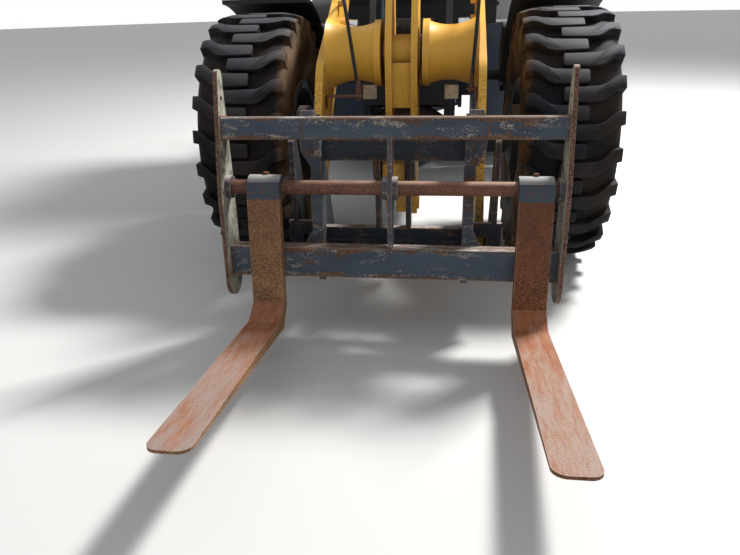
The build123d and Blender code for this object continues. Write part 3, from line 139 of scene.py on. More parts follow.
# A material or sky and its node tree
class Finish:
    def __init__(self, owner, shader="Principled BSDF"):
        owner.use_nodes = True
        self.material = owner
        self.tree = owner.node_tree
        self.shader = self.tree.nodes[shader]

    def feed(self, socket, value):
        if isinstance(value, Shade):
            self.tree.links.new(value.output, socket)
        else:
            socket.default_value = value

    def node(self, kind, settings=None, sockets=(), output=0):
        made = self.tree.nodes.new(kind)
        for setting, value in (settings or {}).items():
            setattr(made, setting, value)
        for socket, value in sockets:
            self.feed(made.inputs[socket], value)
        return Shade(self, made.outputs[output])

    def mix(self, factor, first, second):
        sockets = {MIX_FACTOR: factor, MIX_FIRST: first, MIX_SECOND: second}
        return self.node("ShaderNodeMix", {"data_type": "RGBA"}, sockets.items(), MIX_RESULT)

    def place(self, stretch=(1.0, 1.0, 1.0)):
        where = self.node("ShaderNodeTexCoord", output="Object")
        return self.node("ShaderNodeMapping", None, (("Vector", where), ("Scale", stretch)))

    def part_of(self, axis):
        where = self.node("ShaderNodeTexCoord", output="Object")
        return self.node("ShaderNodeSeparateXYZ", None, ((0, where),), "XYZ".index(axis))

    def cloud(self, scale, detail=5.0, roughness=0.6, stretch=(1.0, 1.0, 1.0)):
        sockets = {
            "Vector": self.place(stretch), "Scale": scale, "Detail": detail, "Roughness": roughness,
        }
        return self.node("ShaderNodeTexNoise", None, sockets.items())

    def facing(self, axis):
        normal = self.node("ShaderNodeNewGeometry", output="Normal")
        return self.node("ShaderNodeSeparateXYZ", None, ((0, normal),), "XYZ".index(axis))

    def edge(self, width):
        normal = self.node("ShaderNodeNewGeometry", output="Normal")
        rounded = self.node("ShaderNodeBevel", {"samples": EDGE_SAMPLES}, (("Radius", width),))
        both = enumerate((normal, rounded))
        return 1 - self.node("ShaderNodeVectorMath", {"operation": "DOT_PRODUCT"}, both, "Value")

    def openness(self, reach):
        samples = {"samples": OPENNESS_SAMPLES}
        return self.node("ShaderNodeAmbientOcclusion", samples, (("Distance", reach),), "AO")

    def bump(self, height, depth, strength=1.0):
        sockets = {"Height": height, "Distance": depth, "Strength": strength}
        return self.node("ShaderNodeBump", None, sockets.items())

    def set(self, **sockets):
        for name, value in sockets.items():
            self.feed(self.shader.inputs[name.replace("_", " ")], value)
        return self.material


# A colour from its six-figure code
def rgb(code):
    values = [int(code[i:i + 2], 16) / 255 for i in (0, 2, 4)]
    linear = [v / 12.92 if v <= 0.04045 else ((v + 0.055) / 1.055) ** 2.4 for v in values]
    return (*linear, 1.0)


floor_mesh = bmesh.new()
bmesh.ops.create_circle(floor_mesh, cap_ends=True, segments=FLOOR_SIDES, radius=FLOOR_RADIUS)
floor_data = bpy.data.meshes.new("floor")
floor_mesh.to_mesh(floor_data)
floor_mesh.free()
floor = bpy.data.objects.new("floor", floor_data)
scene.collection.objects.link(floor)
floor_finish = Finish(bpy.data.materials.new("pale_floor"))
floor_data.materials.append(floor_finish.set(Base_Color=FLOOR_COLOUR, Roughness=FLOOR_ROUGHNESS))

sky = bpy.data.worlds.new("even_sky")
scene.world = sky
sky_finish = Finish(sky, "Background")
sky_finish.set(Color=SKY_COLOUR, Strength=SKY_LIGHT)
seen_sky = sky_finish.node("ShaderNodeBackground", None, (("Color", SKY_WHITE),))
camera_ray = sky_finish.node("ShaderNodeLightPath", output="Is Camera Ray")
glossy_ray = sky_finish.node("ShaderNodeLightPath", output="Is Glossy Ray")
through_ray = sky_finish.node("ShaderNodeLightPath", output="Is Transmission Ray")
seen = camera_ray.largest(glossy_ray).largest(through_ray)
lit_sky = Shade(sky_finish, sky_finish.shader.outputs[0])
both_skies = sky_finish.node("ShaderNodeMixShader", None, ((0, seen), (1, lit_sky), (2, seen_sky)))
sky_finish.feed(sky_finish.tree.nodes["World Output"].inputs["Surface"], both_skies)


# Rear frame, counterweight and platform: welded plate and a cast weight, sprayed in one dark
# grey-blue. The paint rubs through along edges, chips to rust on the faces, and dust lies on
# what looks up and in the corners.
FRAME_PAINT = rgb("3C4653")
FRAME_SHADE = rgb("2B333E")
FRAME_RUST = rgb("5E3D2C")
FRAME_BARE = rgb("8C8985")
FRAME_DUST = rgb("7A6E61")
RUBBED_WIDTH = 0.005
CHIPPED_WIDTH = 0.016
CORNER_REACH = 0.10
PAINT_DEPTH = 0.0012


# A sprayed paint that has worn: how rusty, rubbed, dusty and dull it is runs from 0 to about 1
def painted_steel(name, paint, shade, rust, bare, dust, rusty=0.5, worn=0.5, dusty=0.5, gloss=0.45):
    finish = Finish(bpy.data.materials.new(name))
    broad = finish.cloud(1.7, 6.0, 0.62)
    spots = finish.cloud(11.0, 9.0, 0.74)
    grain = finish.cloud(75.0, 4.0, 0.6)
    open_air = finish.openness(CORNER_REACH)
    halo = finish.edge(CHIPPED_WIDTH).ramp(0.004, 0.16) * spots.ramp(0.40, 0.62)
    open_edge = finish.edge(RUBBED_WIDTH).ramp(0.01, 0.20) * open_air
    rubbed = (open_edge * spots.ramp(0.34, 0.60) * worn).smallest(1.0)
    patches = (spots * 0.55 + broad * 0.45).ramp(0.66 - 0.12 * rusty, 0.69 - 0.10 * rusty)
    chipped = patches.largest(halo * min(1.0, rusty + 0.2))
    lit_dust = finish.facing("Z").ramp(0.35, 0.95) * broad.ramp(0.2, 0.7)
    settled = (lit_dust + (1 - open_air) * 0.6) * dusty
    tint = finish.mix(broad.ramp(0.3, 0.7), paint, shade)
    tint = finish.mix(chipped * 0.9, tint, finish.mix(grain.ramp(0.35, 0.7), rust, shade))
    tint = finish.mix(settled.smallest(0.9), tint, dust)
    tint = finish.mix(rubbed, tint, bare)
    rough = gloss + chipped * 0.35 + settled * 0.25 + grain * 0.1
    height = grain * 0.25 - chipped * 0.5 + spots * 0.25
    return finish.set(
        Base_Color=tint,
        Specular_IOR_Level=0.3,
        Roughness=rough.smallest(0.95),
        Metallic=rubbed * 0.6,
        Normal=finish.bump(height, PAINT_DEPTH),
    )


# Gives CAD nodes a finish
def coat(material, *names):
    for name in names:
        for material_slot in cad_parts[name].material_slots:
            material_slot.material = material


frame_grey = painted_steel(
    "frame_grey", FRAME_PAINT, FRAME_SHADE, FRAME_RUST, FRAME_BARE, FRAME_DUST, 0.5, 0.8, 0.45
)
coat(frame_grey, "rear_frame", "counterweight", "cab_platform", "side_tanks")


# Rear lamps: a moulded body in each pocket of the counterweight, with a red and an amber lens
# side by side, held by two screws.
REAR_LAMP_X = (0.520, 0.720)
REAR_LAMP_Z = (1.090, 1.180)
REAR_LAMP_FACE = 3.588
REAR_LAMP_BACK = 3.5585
POCKET_GAP = 0.002
LAMP_DEPTH = 0.016
LAMP_SCREW_IN = 0.008
LAMP_SCREW_R = 0.004
LENS_END = 0.014
LENS_RIM = 0.008
LENS_BACK = 0.012
LENS_GAP = 0.001
LENS_RIBS = 40.0
LENS_RED = rgb("A81C14")
LENS_AMBER = rgb("D9801E")


# A moulded lens with fine upright ribs
def lens(name, colour):
    finish = Finish(bpy.data.materials.new(name))
    sockets = {"Vector": finish.place(), "Scale": LENS_RIBS}
    ribs = finish.node("ShaderNodeTexWave", {"bands_direction": "X"}, sockets.items())
    rubbed_lens = finish.mix(finish.cloud(20.0).ramp(0.3, 0.8) * 0.25, colour, FRAME_DUST)
    finish.set(Coat_Weight=0.6)
    return finish.set(Base_Color=rubbed_lens, Roughness=0.25, Normal=finish.bump(ribs, 0.0008))


# A moulded plastic or enamel that the sun has faded from above
def plastic(name, colour, worn_colour):
    finish = Finish(bpy.data.materials.new(name))
    grain = finish.cloud(180.0, 2.0)
    faded = finish.cloud(4.0).ramp(0.3, 0.75) * 0.6 + finish.facing("Z").ramp(0.3, 1.0) * 0.3
    tint = finish.mix(faded.smallest(0.9), colour, worn_colour)
    finish.set(Specular_IOR_Level=0.25)
    return finish.set(Base_Color=tint, Roughness=grain * 0.2 + 0.5, Normal=finish.bump(grain, 0.0004))


# Adds a block with rounded edges to a mesh
def rounded_block(mesh, low, high, radius, segments=2):
    low, high = Vector(low), Vector(high)
    corners = bmesh.ops.create_cube(mesh, size=1.0)["verts"]
    bmesh.ops.scale(mesh, vec=high - low, verts=corners)
    bmesh.ops.translate(mesh, vec=(low + high) / 2, verts=corners)
    edges = list(dict.fromkeys(edge for corner in corners for edge in corner.link_edges))
    bmesh.ops.bevel(
        mesh, geom=edges, offset=radius, segments=segments, affect="EDGES", profile=0.5, material=-1,
        clamp_overlap=True,
    )


# Adds a round, hexagonal or tapering length to a mesh, with its rims chamfered
def round_length(mesh, start, end, radius, segments=24, chamfer=0.002, end_radius=None):
    start, end = Vector(start), Vector(end)
    run = end - start
    turn = run.to_track_quat("Z", "Y").to_matrix().to_4x4()
    made = bmesh.ops.create_cone(
        mesh, cap_ends=True, segments=segments, radius1=radius, radius2=end_radius or radius,
        depth=run.length, matrix=Matrix.Translation((start + end) / 2) @ turn,
    )
    edges = dict.fromkeys(edge for vert in made["verts"] for edge in vert.link_edges)
    rims = [edge for edge in edges if max(len(face.verts) for face in edge.link_faces) > 4]
    bmesh.ops.bevel(
        mesh, geom=rims, offset=chamfer, segments=2, affect="EDGES", profile=0.5, material=-1,
        clamp_overlap=True,
    )


# Makes an object of a mesh, in the body that it moves with
def fit(mesh, name, body, material, crease=35.0):
    data = bpy.data.meshes.new(name)
    mesh.to_mesh(data)
    mesh.free()
    data.shade_smooth()
    data.set_sharp_from_angle(angle=math.radians(crease))
    data.materials.append(material)
    made = bpy.data.objects.new(name, data)
    scene.collection.objects.link(made)
    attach(made, body)
    return made


# Puts a mesh that is made for the left on its own side
def on_side(mesh, hand):
    bmesh.ops.scale(mesh, vec=(hand, 1, 1), verts=mesh.verts)
    bmesh.ops.recalc_face_normals(mesh, faces=mesh.faces)


black_plastic = plastic("black_plastic", rgb("17181A"), rgb("2E2D2C"))
lamp_in, lamp_out = REAR_LAMP_X
lamp_low, lamp_high = REAR_LAMP_Z
lamp_middle = (lamp_in + lamp_out) / 2
# Lenses, as (name, finish's name, colour, where it starts and ends)
REAR_LENSES = [
    ("stop_lens", "red_lens", LENS_RED, lamp_in + LENS_END, lamp_middle),
    ("turn_lens", "amber_lens", LENS_AMBER, lamp_middle, lamp_out - LENS_END),
]
for side, hand in (("left", 1), ("right", -1)):
    body_mesh = bmesh.new()
    low = (lamp_in + POCKET_GAP, REAR_LAMP_BACK, lamp_low + POCKET_GAP)
    high = (lamp_out - POCKET_GAP, REAR_LAMP_BACK + LAMP_DEPTH, lamp_high - POCKET_GAP)
    rounded_block(body_mesh, low, high, 0.004)
    for x in (lamp_in + LAMP_SCREW_IN, lamp_out - LAMP_SCREW_IN):
        head = Vector((x, REAR_LAMP_BACK + LAMP_DEPTH - 0.001, (lamp_low + lamp_high) / 2))
        round_length(body_mesh, head, head + Vector((0, 0.004, 0)), LAMP_SCREW_R, 6, 0.0008)
    on_side(body_mesh, hand)
    fit(body_mesh, f"rear_lamp_{side}", "chassis", black_plastic)
    for name, finish_name, colour, x_in, x_out in REAR_LENSES:
        lens_mesh = bmesh.new()
        low = (x_in + LENS_GAP, REAR_LAMP_BACK + LENS_BACK, lamp_low + LENS_RIM)
        high = (x_out - LENS_GAP, REAR_LAMP_FACE - LENS_GAP, lamp_high - LENS_RIM)
        rounded_block(lens_mesh, low, high, 0.006, 3)
        on_side(lens_mesh, hand)
        lens_finish = lens(f"{finish_name}_{side}", colour)
        fit(lens_mesh, f"{name}_{side}", "chassis", lens_finish)


# Engine and transmission: iron castings in dull grey enamel, dark with oil in the corners. The
# engine's cast cover has a ridge and cross ribs. They show between the frame plates and under
# the open hood.
oily_iron = painted_steel(
    "oily_iron", rgb("3A3D3F"), rgb("282A2C"), rgb("4A3426"), rgb("6E6B66"), rgb("4A4136"),
    0.5, 0.4, 0.6,
)
coat(oily_iron, "engine_block", "transmission")
RIB_COUNT = 7
RIB_HALF = 0.24
RIB_T = 0.012
RIB_RISE = 0.022
COVER_HALF = 0.10
COVER_END = 0.08
COVER_RISE = 0.045
SINK = 0.004
engine_low, engine_high = [Vector(corner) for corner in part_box("engine_block")]
rib_mesh = bmesh.new()
for rib in range(RIB_COUNT):
    y = engine_low.y + (rib + 1) * (engine_high.y - engine_low.y) / (RIB_COUNT + 1)
    low = (-RIB_HALF, y - RIB_T, engine_high.z - SINK)
    rounded_block(rib_mesh, low, (RIB_HALF, y + RIB_T, engine_high.z + RIB_RISE), 0.004)
low = (-COVER_HALF, engine_low.y + COVER_END, engine_high.z - SINK)
high = (COVER_HALF, engine_high.y - COVER_END, engine_high.z + COVER_RISE)
rounded_block(rib_mesh, low, high, 0.02, 3)
fit(rib_mesh, "valve_cover", "chassis", oily_iron)


# Axles: cast housings with drum ends, in the frame's paint under a thick coat of dust.
# The rims are pressed steel wells with a disc, sprayed like the frame.
dusty_grey = painted_steel(
    "dusty_grey", FRAME_PAINT, FRAME_SHADE, FRAME_RUST, FRAME_BARE, FRAME_DUST, 0.5, 0.5, 0.9, 0.55
)
coat(dusty_grey, "front_axle", "rear_axle")
coat(dusty_grey, "rim_front_left", "rim_front_right", "rim_rear_left", "rim_rear_right")


# Wheel nuts, hub plug and valve: twelve hexagon nuts on studs round each disc, a plug in the
# hub's cap and a valve in the rim's well. The axles lie 1.5 m before and behind the hinge.
HINGE_Y = 0.508251
AXLE_Y = {"front": HINGE_Y - 1.5, "rear": HINGE_Y + 1.5}
AXLE_Z = 0.745
WHEEL_X = 0.900
NUT_RING = 0.235
NUT_FACE = 0.085
NUTS = 12
# Washer, nut and stud, as (start and end out from the disc, radius, sides, chamfer)
NUT_STACK = [
    (0.000, 0.006, 0.0210, 20, 0.001),
    (0.005, 0.026, 0.0165, 6, 0.002),
    (0.020, 0.036, 0.0100, 12, 0.002),
]
HUB_PLUG = (0.158, 0.170)
HUB_PLUG_R = 0.022
VALVE_UP = 0.285
VALVE_R = 0.007
steel_nuts = painted_steel(
    "steel_nuts", rgb("4A4643"), rgb("3A3633"), rgb("6B452F"), rgb("9A948C"), FRAME_DUST, 1.0, 0.8, 0.5
)
for end in ("front", "rear"):
    for side, hand in (("left", 1), ("right", -1)):
        nut_mesh = bmesh.new()
        for nut in range(NUTS):
            angle = math.tau * (nut + 0.5) / NUTS
            across, up = NUT_RING * math.cos(angle), NUT_RING * math.sin(angle)
            for near, far, radius, sides, chamfer in NUT_STACK:
                foot = (NUT_FACE - 0.001 + near, across, up)
                head = (NUT_FACE - 0.001 + far, across, up)
                round_length(nut_mesh, foot, head, radius, sides, chamfer)
        round_length(nut_mesh, (HUB_PLUG[0], 0, 0), (HUB_PLUG[1], 0, 0), HUB_PLUG_R, 6, 0.002)
        foot = (NUT_FACE - 0.001, 0, VALVE_UP)
        round_length(nut_mesh, foot, (NUT_FACE + 0.045, 0, VALVE_UP - 0.005), VALVE_R, 12, 0.001)
        on_side(nut_mesh, hand)
        hub = (hand * WHEEL_X, AXLE_Y[end], AXLE_Z)
        bmesh.ops.translate(nut_mesh, vec=hub, verts=nut_mesh.verts)
        fit(nut_mesh, f"wheel_nuts_{end}_{side}", f"wheel_{end}_{side}", steel_nuts)


# Tyres: a moulded carcass with round shoulders, and bars that leave each shoulder steeply, bend
# and lie level past the middle, the two sides in turn. The bars' tops are grey where they face
# up, a little from scuffing and mostly as a painted highlight; the rubber between them stays
# dark, and brown dust sticks to the inner walls.

# Half of the carcass's section, from its middle to the bead, as (outward, radius)
CARCASS_HALF = [
    (0.0000, 0.704), (0.1000, 0.703), (0.1700, 0.699), (0.2120, 0.690), (0.2390, 0.668),
    (0.2520, 0.630), (0.2575, 0.580), (0.2595, 0.572), (0.2595, 0.556), (0.2580, 0.548),
    (0.2560, 0.500), (0.2480, 0.455), (0.2490, 0.450), (0.2470, 0.436), (0.2360, 0.405),
    (0.2220, 0.375), (0.2147, 0.353), (0.2147, 0.3175),
]
# Middle line of a bar, as (outward, round the tread, half its width)
BAR_LINE = [
    (-0.066, -0.034, 0.030), (-0.058, -0.034, 0.038), (0.060, -0.034, 0.041), (0.112, -0.032, 0.041),
    (0.142, -0.020, 0.040), (0.166, 0.002, 0.039), (0.188, 0.024, 0.038), (0.214, 0.038, 0.038),
    (0.252, 0.043, 0.037),
]
BAR_PAIRS = 24
BAR_TOP = 0.7435
SHOULDER_TOP = 0.716
SHOULDER_FROM = 0.110
SHOULDER_RUN = 0.142
BAR_FOOT = 0.690
FOOT_DROP = 0.095
FOOT_FROM = 0.195
FOOT_RUN = 0.062
BAR_ROUND = 0.006
HOOP_STEPS = 120
RUBBER_DARK = rgb("0B0E14")
# Grey of the bars' tops: scuffed rubber with a painted highlight
RUBBER_WORN_AND_LIT = rgb("3C3E42")
RUBBER_DUST = rgb("6E5945")


# How far from the axle a bar's top lies: it falls away over the shoulder
def bar_top(outward):
    return BAR_TOP - (BAR_TOP - SHOULDER_TOP) * max(0.0, (outward - SHOULDER_FROM) / SHOULDER_RUN) ** 2


# How far from the axle a bar's foot lies, inside the carcass
def bar_foot(outward):
    return BAR_FOOT - FOOT_DROP * max(0.0, (outward - FOOT_FROM) / FOOT_RUN)


tyre_mesh = bmesh.new()
tyre_mesh.verts.layers.float.new("scuff")
section = CARCASS_HALF + [(-u, r) for u, r in CARCASS_HALF[:0:-1]]
ring = [tyre_mesh.verts.new((u, 0.0, r)) for u, r in section]
hoop = [tyre_mesh.edges.new((ring[i - 1], ring[i])) for i in range(len(ring))]
bmesh.ops.spin(
    tyre_mesh, geom=ring + hoop, cent=(0, 0, 0), axis=(1, 0, 0), angle=math.tau, steps=HOOP_STEPS,
    use_merge=True,
)
for shoulder in (1, -1):
    outline = [(u, c + half) for u, c, half in BAR_LINE]
    outline += [(u, c - half) for u, c, half in BAR_LINE[::-1]]
    bar_mesh = bmesh.new()
    bar_scuff = bar_mesh.verts.layers.float.new("scuff")
    foot = [bar_mesh.verts.new((u, c, bar_foot(u))) for u, c in outline]
    sole = bar_mesh.faces.new(foot)
    raised = bmesh.ops.extrude_face_region(bar_mesh, geom=[sole], use_keep_orig=True)
    top = [vert for vert in raised["geom"] if isinstance(vert, bmesh.types.BMVert)]
    for vert in top:
        vert.co.z = bar_top(vert.co.x)
    edges = list(dict.fromkeys(edge for vert in top for edge in vert.link_edges))
    bmesh.ops.bevel(
        bar_mesh, geom=edges, offset=BAR_ROUND, segments=2, affect="EDGES", profile=0.5, material=-1,
        clamp_overlap=True,
    )
    half_turn = 0.0 if shoulder > 0 else math.pi / BAR_PAIRS
    for vert in bar_mesh.verts:
        vert[bar_scuff] = 1.0 if vert.co.z > bar_top(vert.co.x) - 0.004 else 0.0
        turn = vert.co.y / BAR_TOP + half_turn
        reach = vert.co.z
        vert.co = Vector((shoulder * vert.co.x, -reach * math.cos(turn), reach * math.sin(turn)))
    bmesh.ops.spin(
        bar_mesh, geom=[*bar_mesh.verts, *bar_mesh.edges, *bar_mesh.faces], cent=(0, 0, 0),
        axis=(1, 0, 0), angle=math.tau * (BAR_PAIRS - 1) / BAR_PAIRS, steps=BAR_PAIRS - 1,
        use_duplicate=True,
    )
    bar_data = bpy.data.meshes.new("tyre_bars")
    bar_mesh.to_mesh(bar_data)
    bar_mesh.free()
    tyre_mesh.from_mesh(bar_data)
    bpy.data.meshes.remove(bar_data)
bmesh.ops.recalc_face_normals(tyre_mesh, faces=tyre_mesh.faces)

rubber = Finish(bpy.data.materials.new("tyre_rubber"))
scuffed = rubber.node("ShaderNodeAttribute", {"attribute_name": "scuff"}, (), "Fac")
rubber_cloud = rubber.cloud(5.0, 7.0, 0.7)
rubber_grain = rubber.cloud(130.0, 3.0)
inner_wall = 1 - rubber.part_of("X").size().ramp(0.665, 0.700)
dirt = rubber.cloud(2.6, 8.0, 0.7).ramp(0.38, 0.62) * (inner_wall * 0.75 + 0.12)
# Bars' tops grey where they face up: a little scuffing by noise, mostly a painted highlight
worn = scuffed * (rubber_cloud.ramp(0.3, 0.6) * 0.15 + rubber.facing("Z").ramp(0.1, 0.9) * 0.85)
worn_tint = rubber.mix(worn, RUBBER_DARK, RUBBER_WORN_AND_LIT)
rubber_black = rubber.set(
    Base_Color=rubber.mix(dirt, worn_tint, RUBBER_DUST),
    Specular_IOR_Level=0.12,
    Roughness=rubber_grain * 0.15 + dirt * 0.2 + 0.6,
    Normal=rubber.bump(rubber_grain * 0.5 + rubber_cloud * 0.6, 0.0016),
)
for end in ("front", "rear"):
    for side, hand in (("left", 1), ("right", -1)):
        wheel = f"{end}_{side}"
        wheel_mesh = tyre_mesh.copy()
        hub = (hand * WHEEL_X, AXLE_Y[end], AXLE_Z)
        bmesh.ops.translate(wheel_mesh, vec=hub, verts=wheel_mesh.verts)
        name = f"lugged_tyre_{wheel}"
        tyre = fit(wheel_mesh, name, f"wheel_{wheel}", rubber_black, 40.0)
        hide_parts(f"tyre_{wheel}")
tyre_mesh.free()


# Front frame: welded plate in the frame's paint, oily and shaded between the towers. Two blank
# tag plates of pale card in a clip hang on its front wall.
coat(frame_grey, "front_frame")
WALL_Y = HINGE_Y - 1.6505
# Tags, as (left and right edge, bottom, top)
TAGS = [(-0.264, -0.180, 0.996, 1.078), (0.229, 0.309, 0.994, 1.074)]
TAG_T = 0.003
CLIP_RIM = 0.006
TAG_PIN_IN = 0.008

card = Finish(bpy.data.materials.new("tag_card"))
card_soil = card.cloud(30.0, 6.0).ramp(0.35, 0.75)
tag_card = card.set(
    Base_Color=card.mix(card_soil * 0.5, rgb("F2ECD8"), rgb("B5A988")), Roughness=card_soil * 0.2 + 0.6
)
tag_mesh = bmesh.new()
clip_mesh = bmesh.new()
for x_in, x_out, z_low, z_high in TAGS:
    tag_back = WALL_Y - 0.004
    rounded_block(tag_mesh, (x_in, tag_back - TAG_T, z_low), (x_out, tag_back, z_high), 0.0012)
    low = (x_in - CLIP_RIM, WALL_Y - 0.005, z_low - CLIP_RIM)
    rounded_block(clip_mesh, low, (x_out + CLIP_RIM, WALL_Y + 0.004, z_high + CLIP_RIM), 0.002)
    for x in (x_in + TAG_PIN_IN, x_out - TAG_PIN_IN):
        head = Vector((x, WALL_Y - 0.006, z_high - TAG_PIN_IN))
        round_length(clip_mesh, head, head - Vector((0, 0.003, 0)), 0.004, 12, 0.0008)
fit(tag_mesh, "blank_tags", "front", tag_card)
fit(clip_mesh, "tag_clips", "front", frame_grey)


# Valve block on the front frame: a cast block behind the cross tube with three spools, each
# with a round cap and a hexagon plug before it and a hexagon plug behind, dark with oil.
VALVE_LOW = (-0.15, HINGE_Y - 1.22, 1.3405)
VALVE_HIGH = (0.15, HINGE_Y - 1.06, 1.430)
SPOOL_Z = 1.385
SPOOL_X = (-0.10, 0.0, 0.10)
# Cap and plugs, as (where it starts and ends, radius, sides)
SPOOL_ENDS = [
    (VALVE_LOW[1] + 0.002, VALVE_LOW[1] - 0.045, 0.022, 20),
    (VALVE_LOW[1] - 0.040, VALVE_LOW[1] - 0.062, 0.016, 6),
    (VALVE_HIGH[1] - 0.002, VALVE_HIGH[1] + 0.030, 0.018, 6),
]
valve_mesh = bmesh.new()
rounded_block(valve_mesh, VALVE_LOW, VALVE_HIGH, 0.006)
for x in SPOOL_X:
    for near, far, radius, sides in SPOOL_ENDS:
        round_length(valve_mesh, (x, near, SPOOL_Z), (x, far, SPOOL_Z), radius, sides)
fit(valve_mesh, "valve_block", "front", oily_iron)


# Cylinders: honed barrels in the colour of what they move, with a screwed gland at the mouth, a
# hard chromed rod that slides in it and two bosses for the oil's ports.
YELLOW_PAINT = rgb("E6B042")
YELLOW_SHADE = rgb("D29C36")
YELLOW_RUST = rgb("5C402A")
YELLOW_BARE = rgb("8A8074")
YELLOW_DUST = rgb("9C8658")
yellow = painted_steel(
    "loader_yellow", YELLOW_PAINT, YELLOW_SHADE, YELLOW_RUST, YELLOW_BARE, YELLOW_DUST,
    0.15, 0.45, 0.35, 0.38,
)
coat(yellow, "lift_barrel_left", "lift_barrel_right", "tilt_barrel")
coat(frame_grey, "steer_barrel_left", "steer_barrel_right")

chrome = Finish(bpy.data.materials.new("rod_chrome"))
drawn = chrome.cloud(60.0, 3.0, 0.5, (1.0, 0.1, 0.1))
rod_chrome = chrome.set(
    Base_Color=chrome.mix(drawn, rgb("C9CCD0"), rgb("A9AAAC")),
    Metallic=1.0,
    Roughness=drawn * 0.2 + 0.08,
)
coat(rod_chrome, "lift_rod_left", "lift_rod_right", "tilt_rod", "steer_rod_left", "steer_rod_right")


# A place by how far ahead of the hinge it is
def ahead(x, forward, up):
    return Vector((x, HINGE_Y - forward, up))


GLAND_LONG = 0.049
GLAND_RISE = 0.005
PORT_R = 0.016
PORT_RISE = 0.018
# Glands, as (body, foot and head of the cylinder, its barrel's length and radius)
GLANDS = [
    ("lift_cyl_left", ahead(0.330, 0.555, 1.037), ahead(0.330, 1.531, 1.384), 0.905, 0.055),
    ("lift_cyl_right", ahead(-0.330, 0.555, 1.037), ahead(-0.330, 1.531, 1.384), 0.905, 0.055),
    ("tilt_cyl", ahead(0.0, 0.760, 1.830), ahead(0.0, 1.877, 1.753), 0.830, 0.075),
]
for body, start, end, barrel, radius in GLANDS:
    along = (end - start).normalized()
    mouth = start + along * (barrel - 0.001)
    gland_mesh = bmesh.new()
    round_length(gland_mesh, mouth - along * GLAND_LONG, mouth, radius + GLAND_RISE, 40)
    up = along.cross(Vector((1, 0, 0)))
    up = up if up.z > 0 else -up
    for port in (0.14, barrel - 0.09):
        boss = start + along * port
        foot, head = boss + up * (radius - SINK), boss + up * (radius + PORT_RISE)
        round_length(gland_mesh, foot, head, PORT_R, 20)
    fit(gland_mesh, f"gland_{body}", body, yellow)


# Cab: folded and welded sheet in black enamel under a yellow roof, with a hinged door, grab
# rails, mirrors on arms and a moulded console. Dust lies on the ledges.
cab_black = painted_steel(
    "cab_black", rgb("24272C"), rgb("1D2024"), rgb("4A3A2E"), rgb("6E6C68"), rgb("6E665B"),
    0.1, 0.4, 0.35, 0.35,
)
coat(cab_black, "cab_shell", "cab_door", "grab_rails")
coat(yellow, "cab_roof")
coat(black_plastic, "console", "mirrors")


# Window panes: flat sheets of tinted glass that rubber channels hold in the cab and its door,
# smeared where they were wiped.
GLASS_IOR = 1.45
glass = Finish(bpy.data.materials.new("window_glass"))
glass.set(IOR=GLASS_IOR, Transmission_Weight=0.92)
smear = glass.cloud(3.0, 6.0)
tinted_glass = glass.set(
    Base_Color=glass.mix(smear, rgb("C6D2D0"), rgb("B4C0BE")),
    Roughness=smear.ramp(0.4, 0.9) * 0.12 + 0.02,
)
coat(tinted_glass, "cab_glass", "door_glass")


# Wiper: a pivot on the front wall's lower edge, a pressed arm that tapers and a rubber blade
# along the pane, all black.
WIPER_FOOT = Vector((0.10, HINGE_Y - 0.112, 1.535))
WIPER_TIP = Vector((-0.34, HINGE_Y - 0.172, 1.850))
PANE_SLOPE = Vector((0.0, -0.105, 0.650))
BLADE_HALF = 0.24
wiper_mesh = bmesh.new()
pivot_back, pivot_front = WIPER_FOOT + Vector((0, 0.008, 0)), WIPER_FOOT - Vector((0, 0.030, 0))
round_length(wiper_mesh, pivot_back, pivot_front, 0.018, 20)
arm_foot = WIPER_FOOT - Vector((0, 0.022, 0))
arm_tip = WIPER_TIP - Vector((0, 0.016, 0))
round_length(wiper_mesh, arm_foot, arm_tip, 0.007, 8, 0.001, 0.004)
blade_run = PANE_SLOPE.normalized() * BLADE_HALF
round_length(wiper_mesh, arm_tip - blade_run, arm_tip + blade_run, 0.006, 6, 0.001)
fit(wiper_mesh, "wiper", "chassis", black_plastic)


# Driver's seat: a sprung pedestal in a rubber bellows, and a foam cushion and backrest in
# woven cloth, crowned in the middle with side bolsters.
SEAT_SIDE = 0.235
# Cushion's front, rear, bottom and top
CUSHION = (HINGE_Y + 0.545, HINGE_Y + 1.010, 1.685, 1.795)
BACK_HALF = 0.290
BACK_T = 0.077
BACK_LEAN = 81.0
BACK_PLACE = (0, HINGE_Y + 1.052, 2.105)
PAD_CROWN = 0.3
PAD_BOLSTER = 0.25
THREADS = 90.0
CORNER_PULL = 0.05
SWELL_VOXEL = 0.006
SWELL_CAP = 0.010
SWELL_PRESSURE = 4.0
SWELL_FRAMES = 20
BELLOWS_HALF = 0.185
BELLOWS_Y = (HINGE_Y + 0.625, HINGE_Y + 0.975)
BELLOWS_LOW = 1.351
BELLOWS_FOLDS = 6
FOLD_PITCH = 0.052
weave = Finish(bpy.data.materials.new("seat_cloth"))
threads = []
for way in ("X", "Y", "Z"):
    sockets = {"Vector": weave.place(), "Scale": THREADS, "Distortion": 0.5}
    threads.append(weave.node("ShaderNodeTexWave", {"bands_direction": way}, sockets.items()))
thread = threads[0] * 0.34 + threads[1] * 0.33 + threads[2] * 0.33
seat_cloth = weave.set(
    Base_Color=weave.mix(thread * weave.cloud(6.0), rgb("1E1F23"), rgb("45454A")),
    Roughness=thread * 0.1 + 0.8,
    Normal=weave.bump(thread, 0.0008),
)
bellows_mesh = bmesh.new()
for fold in range(BELLOWS_FOLDS):
    z_low = BELLOWS_LOW + FOLD_PITCH * fold
    low = (-BELLOWS_HALF, BELLOWS_Y[0], z_low)
    rounded_block(bellows_mesh, low, (BELLOWS_HALF, BELLOWS_Y[1], z_low + 0.054), 0.024, 3)
bellows = fit(bellows_mesh, "seat_bellows", "chassis", black_plastic, 50.0)


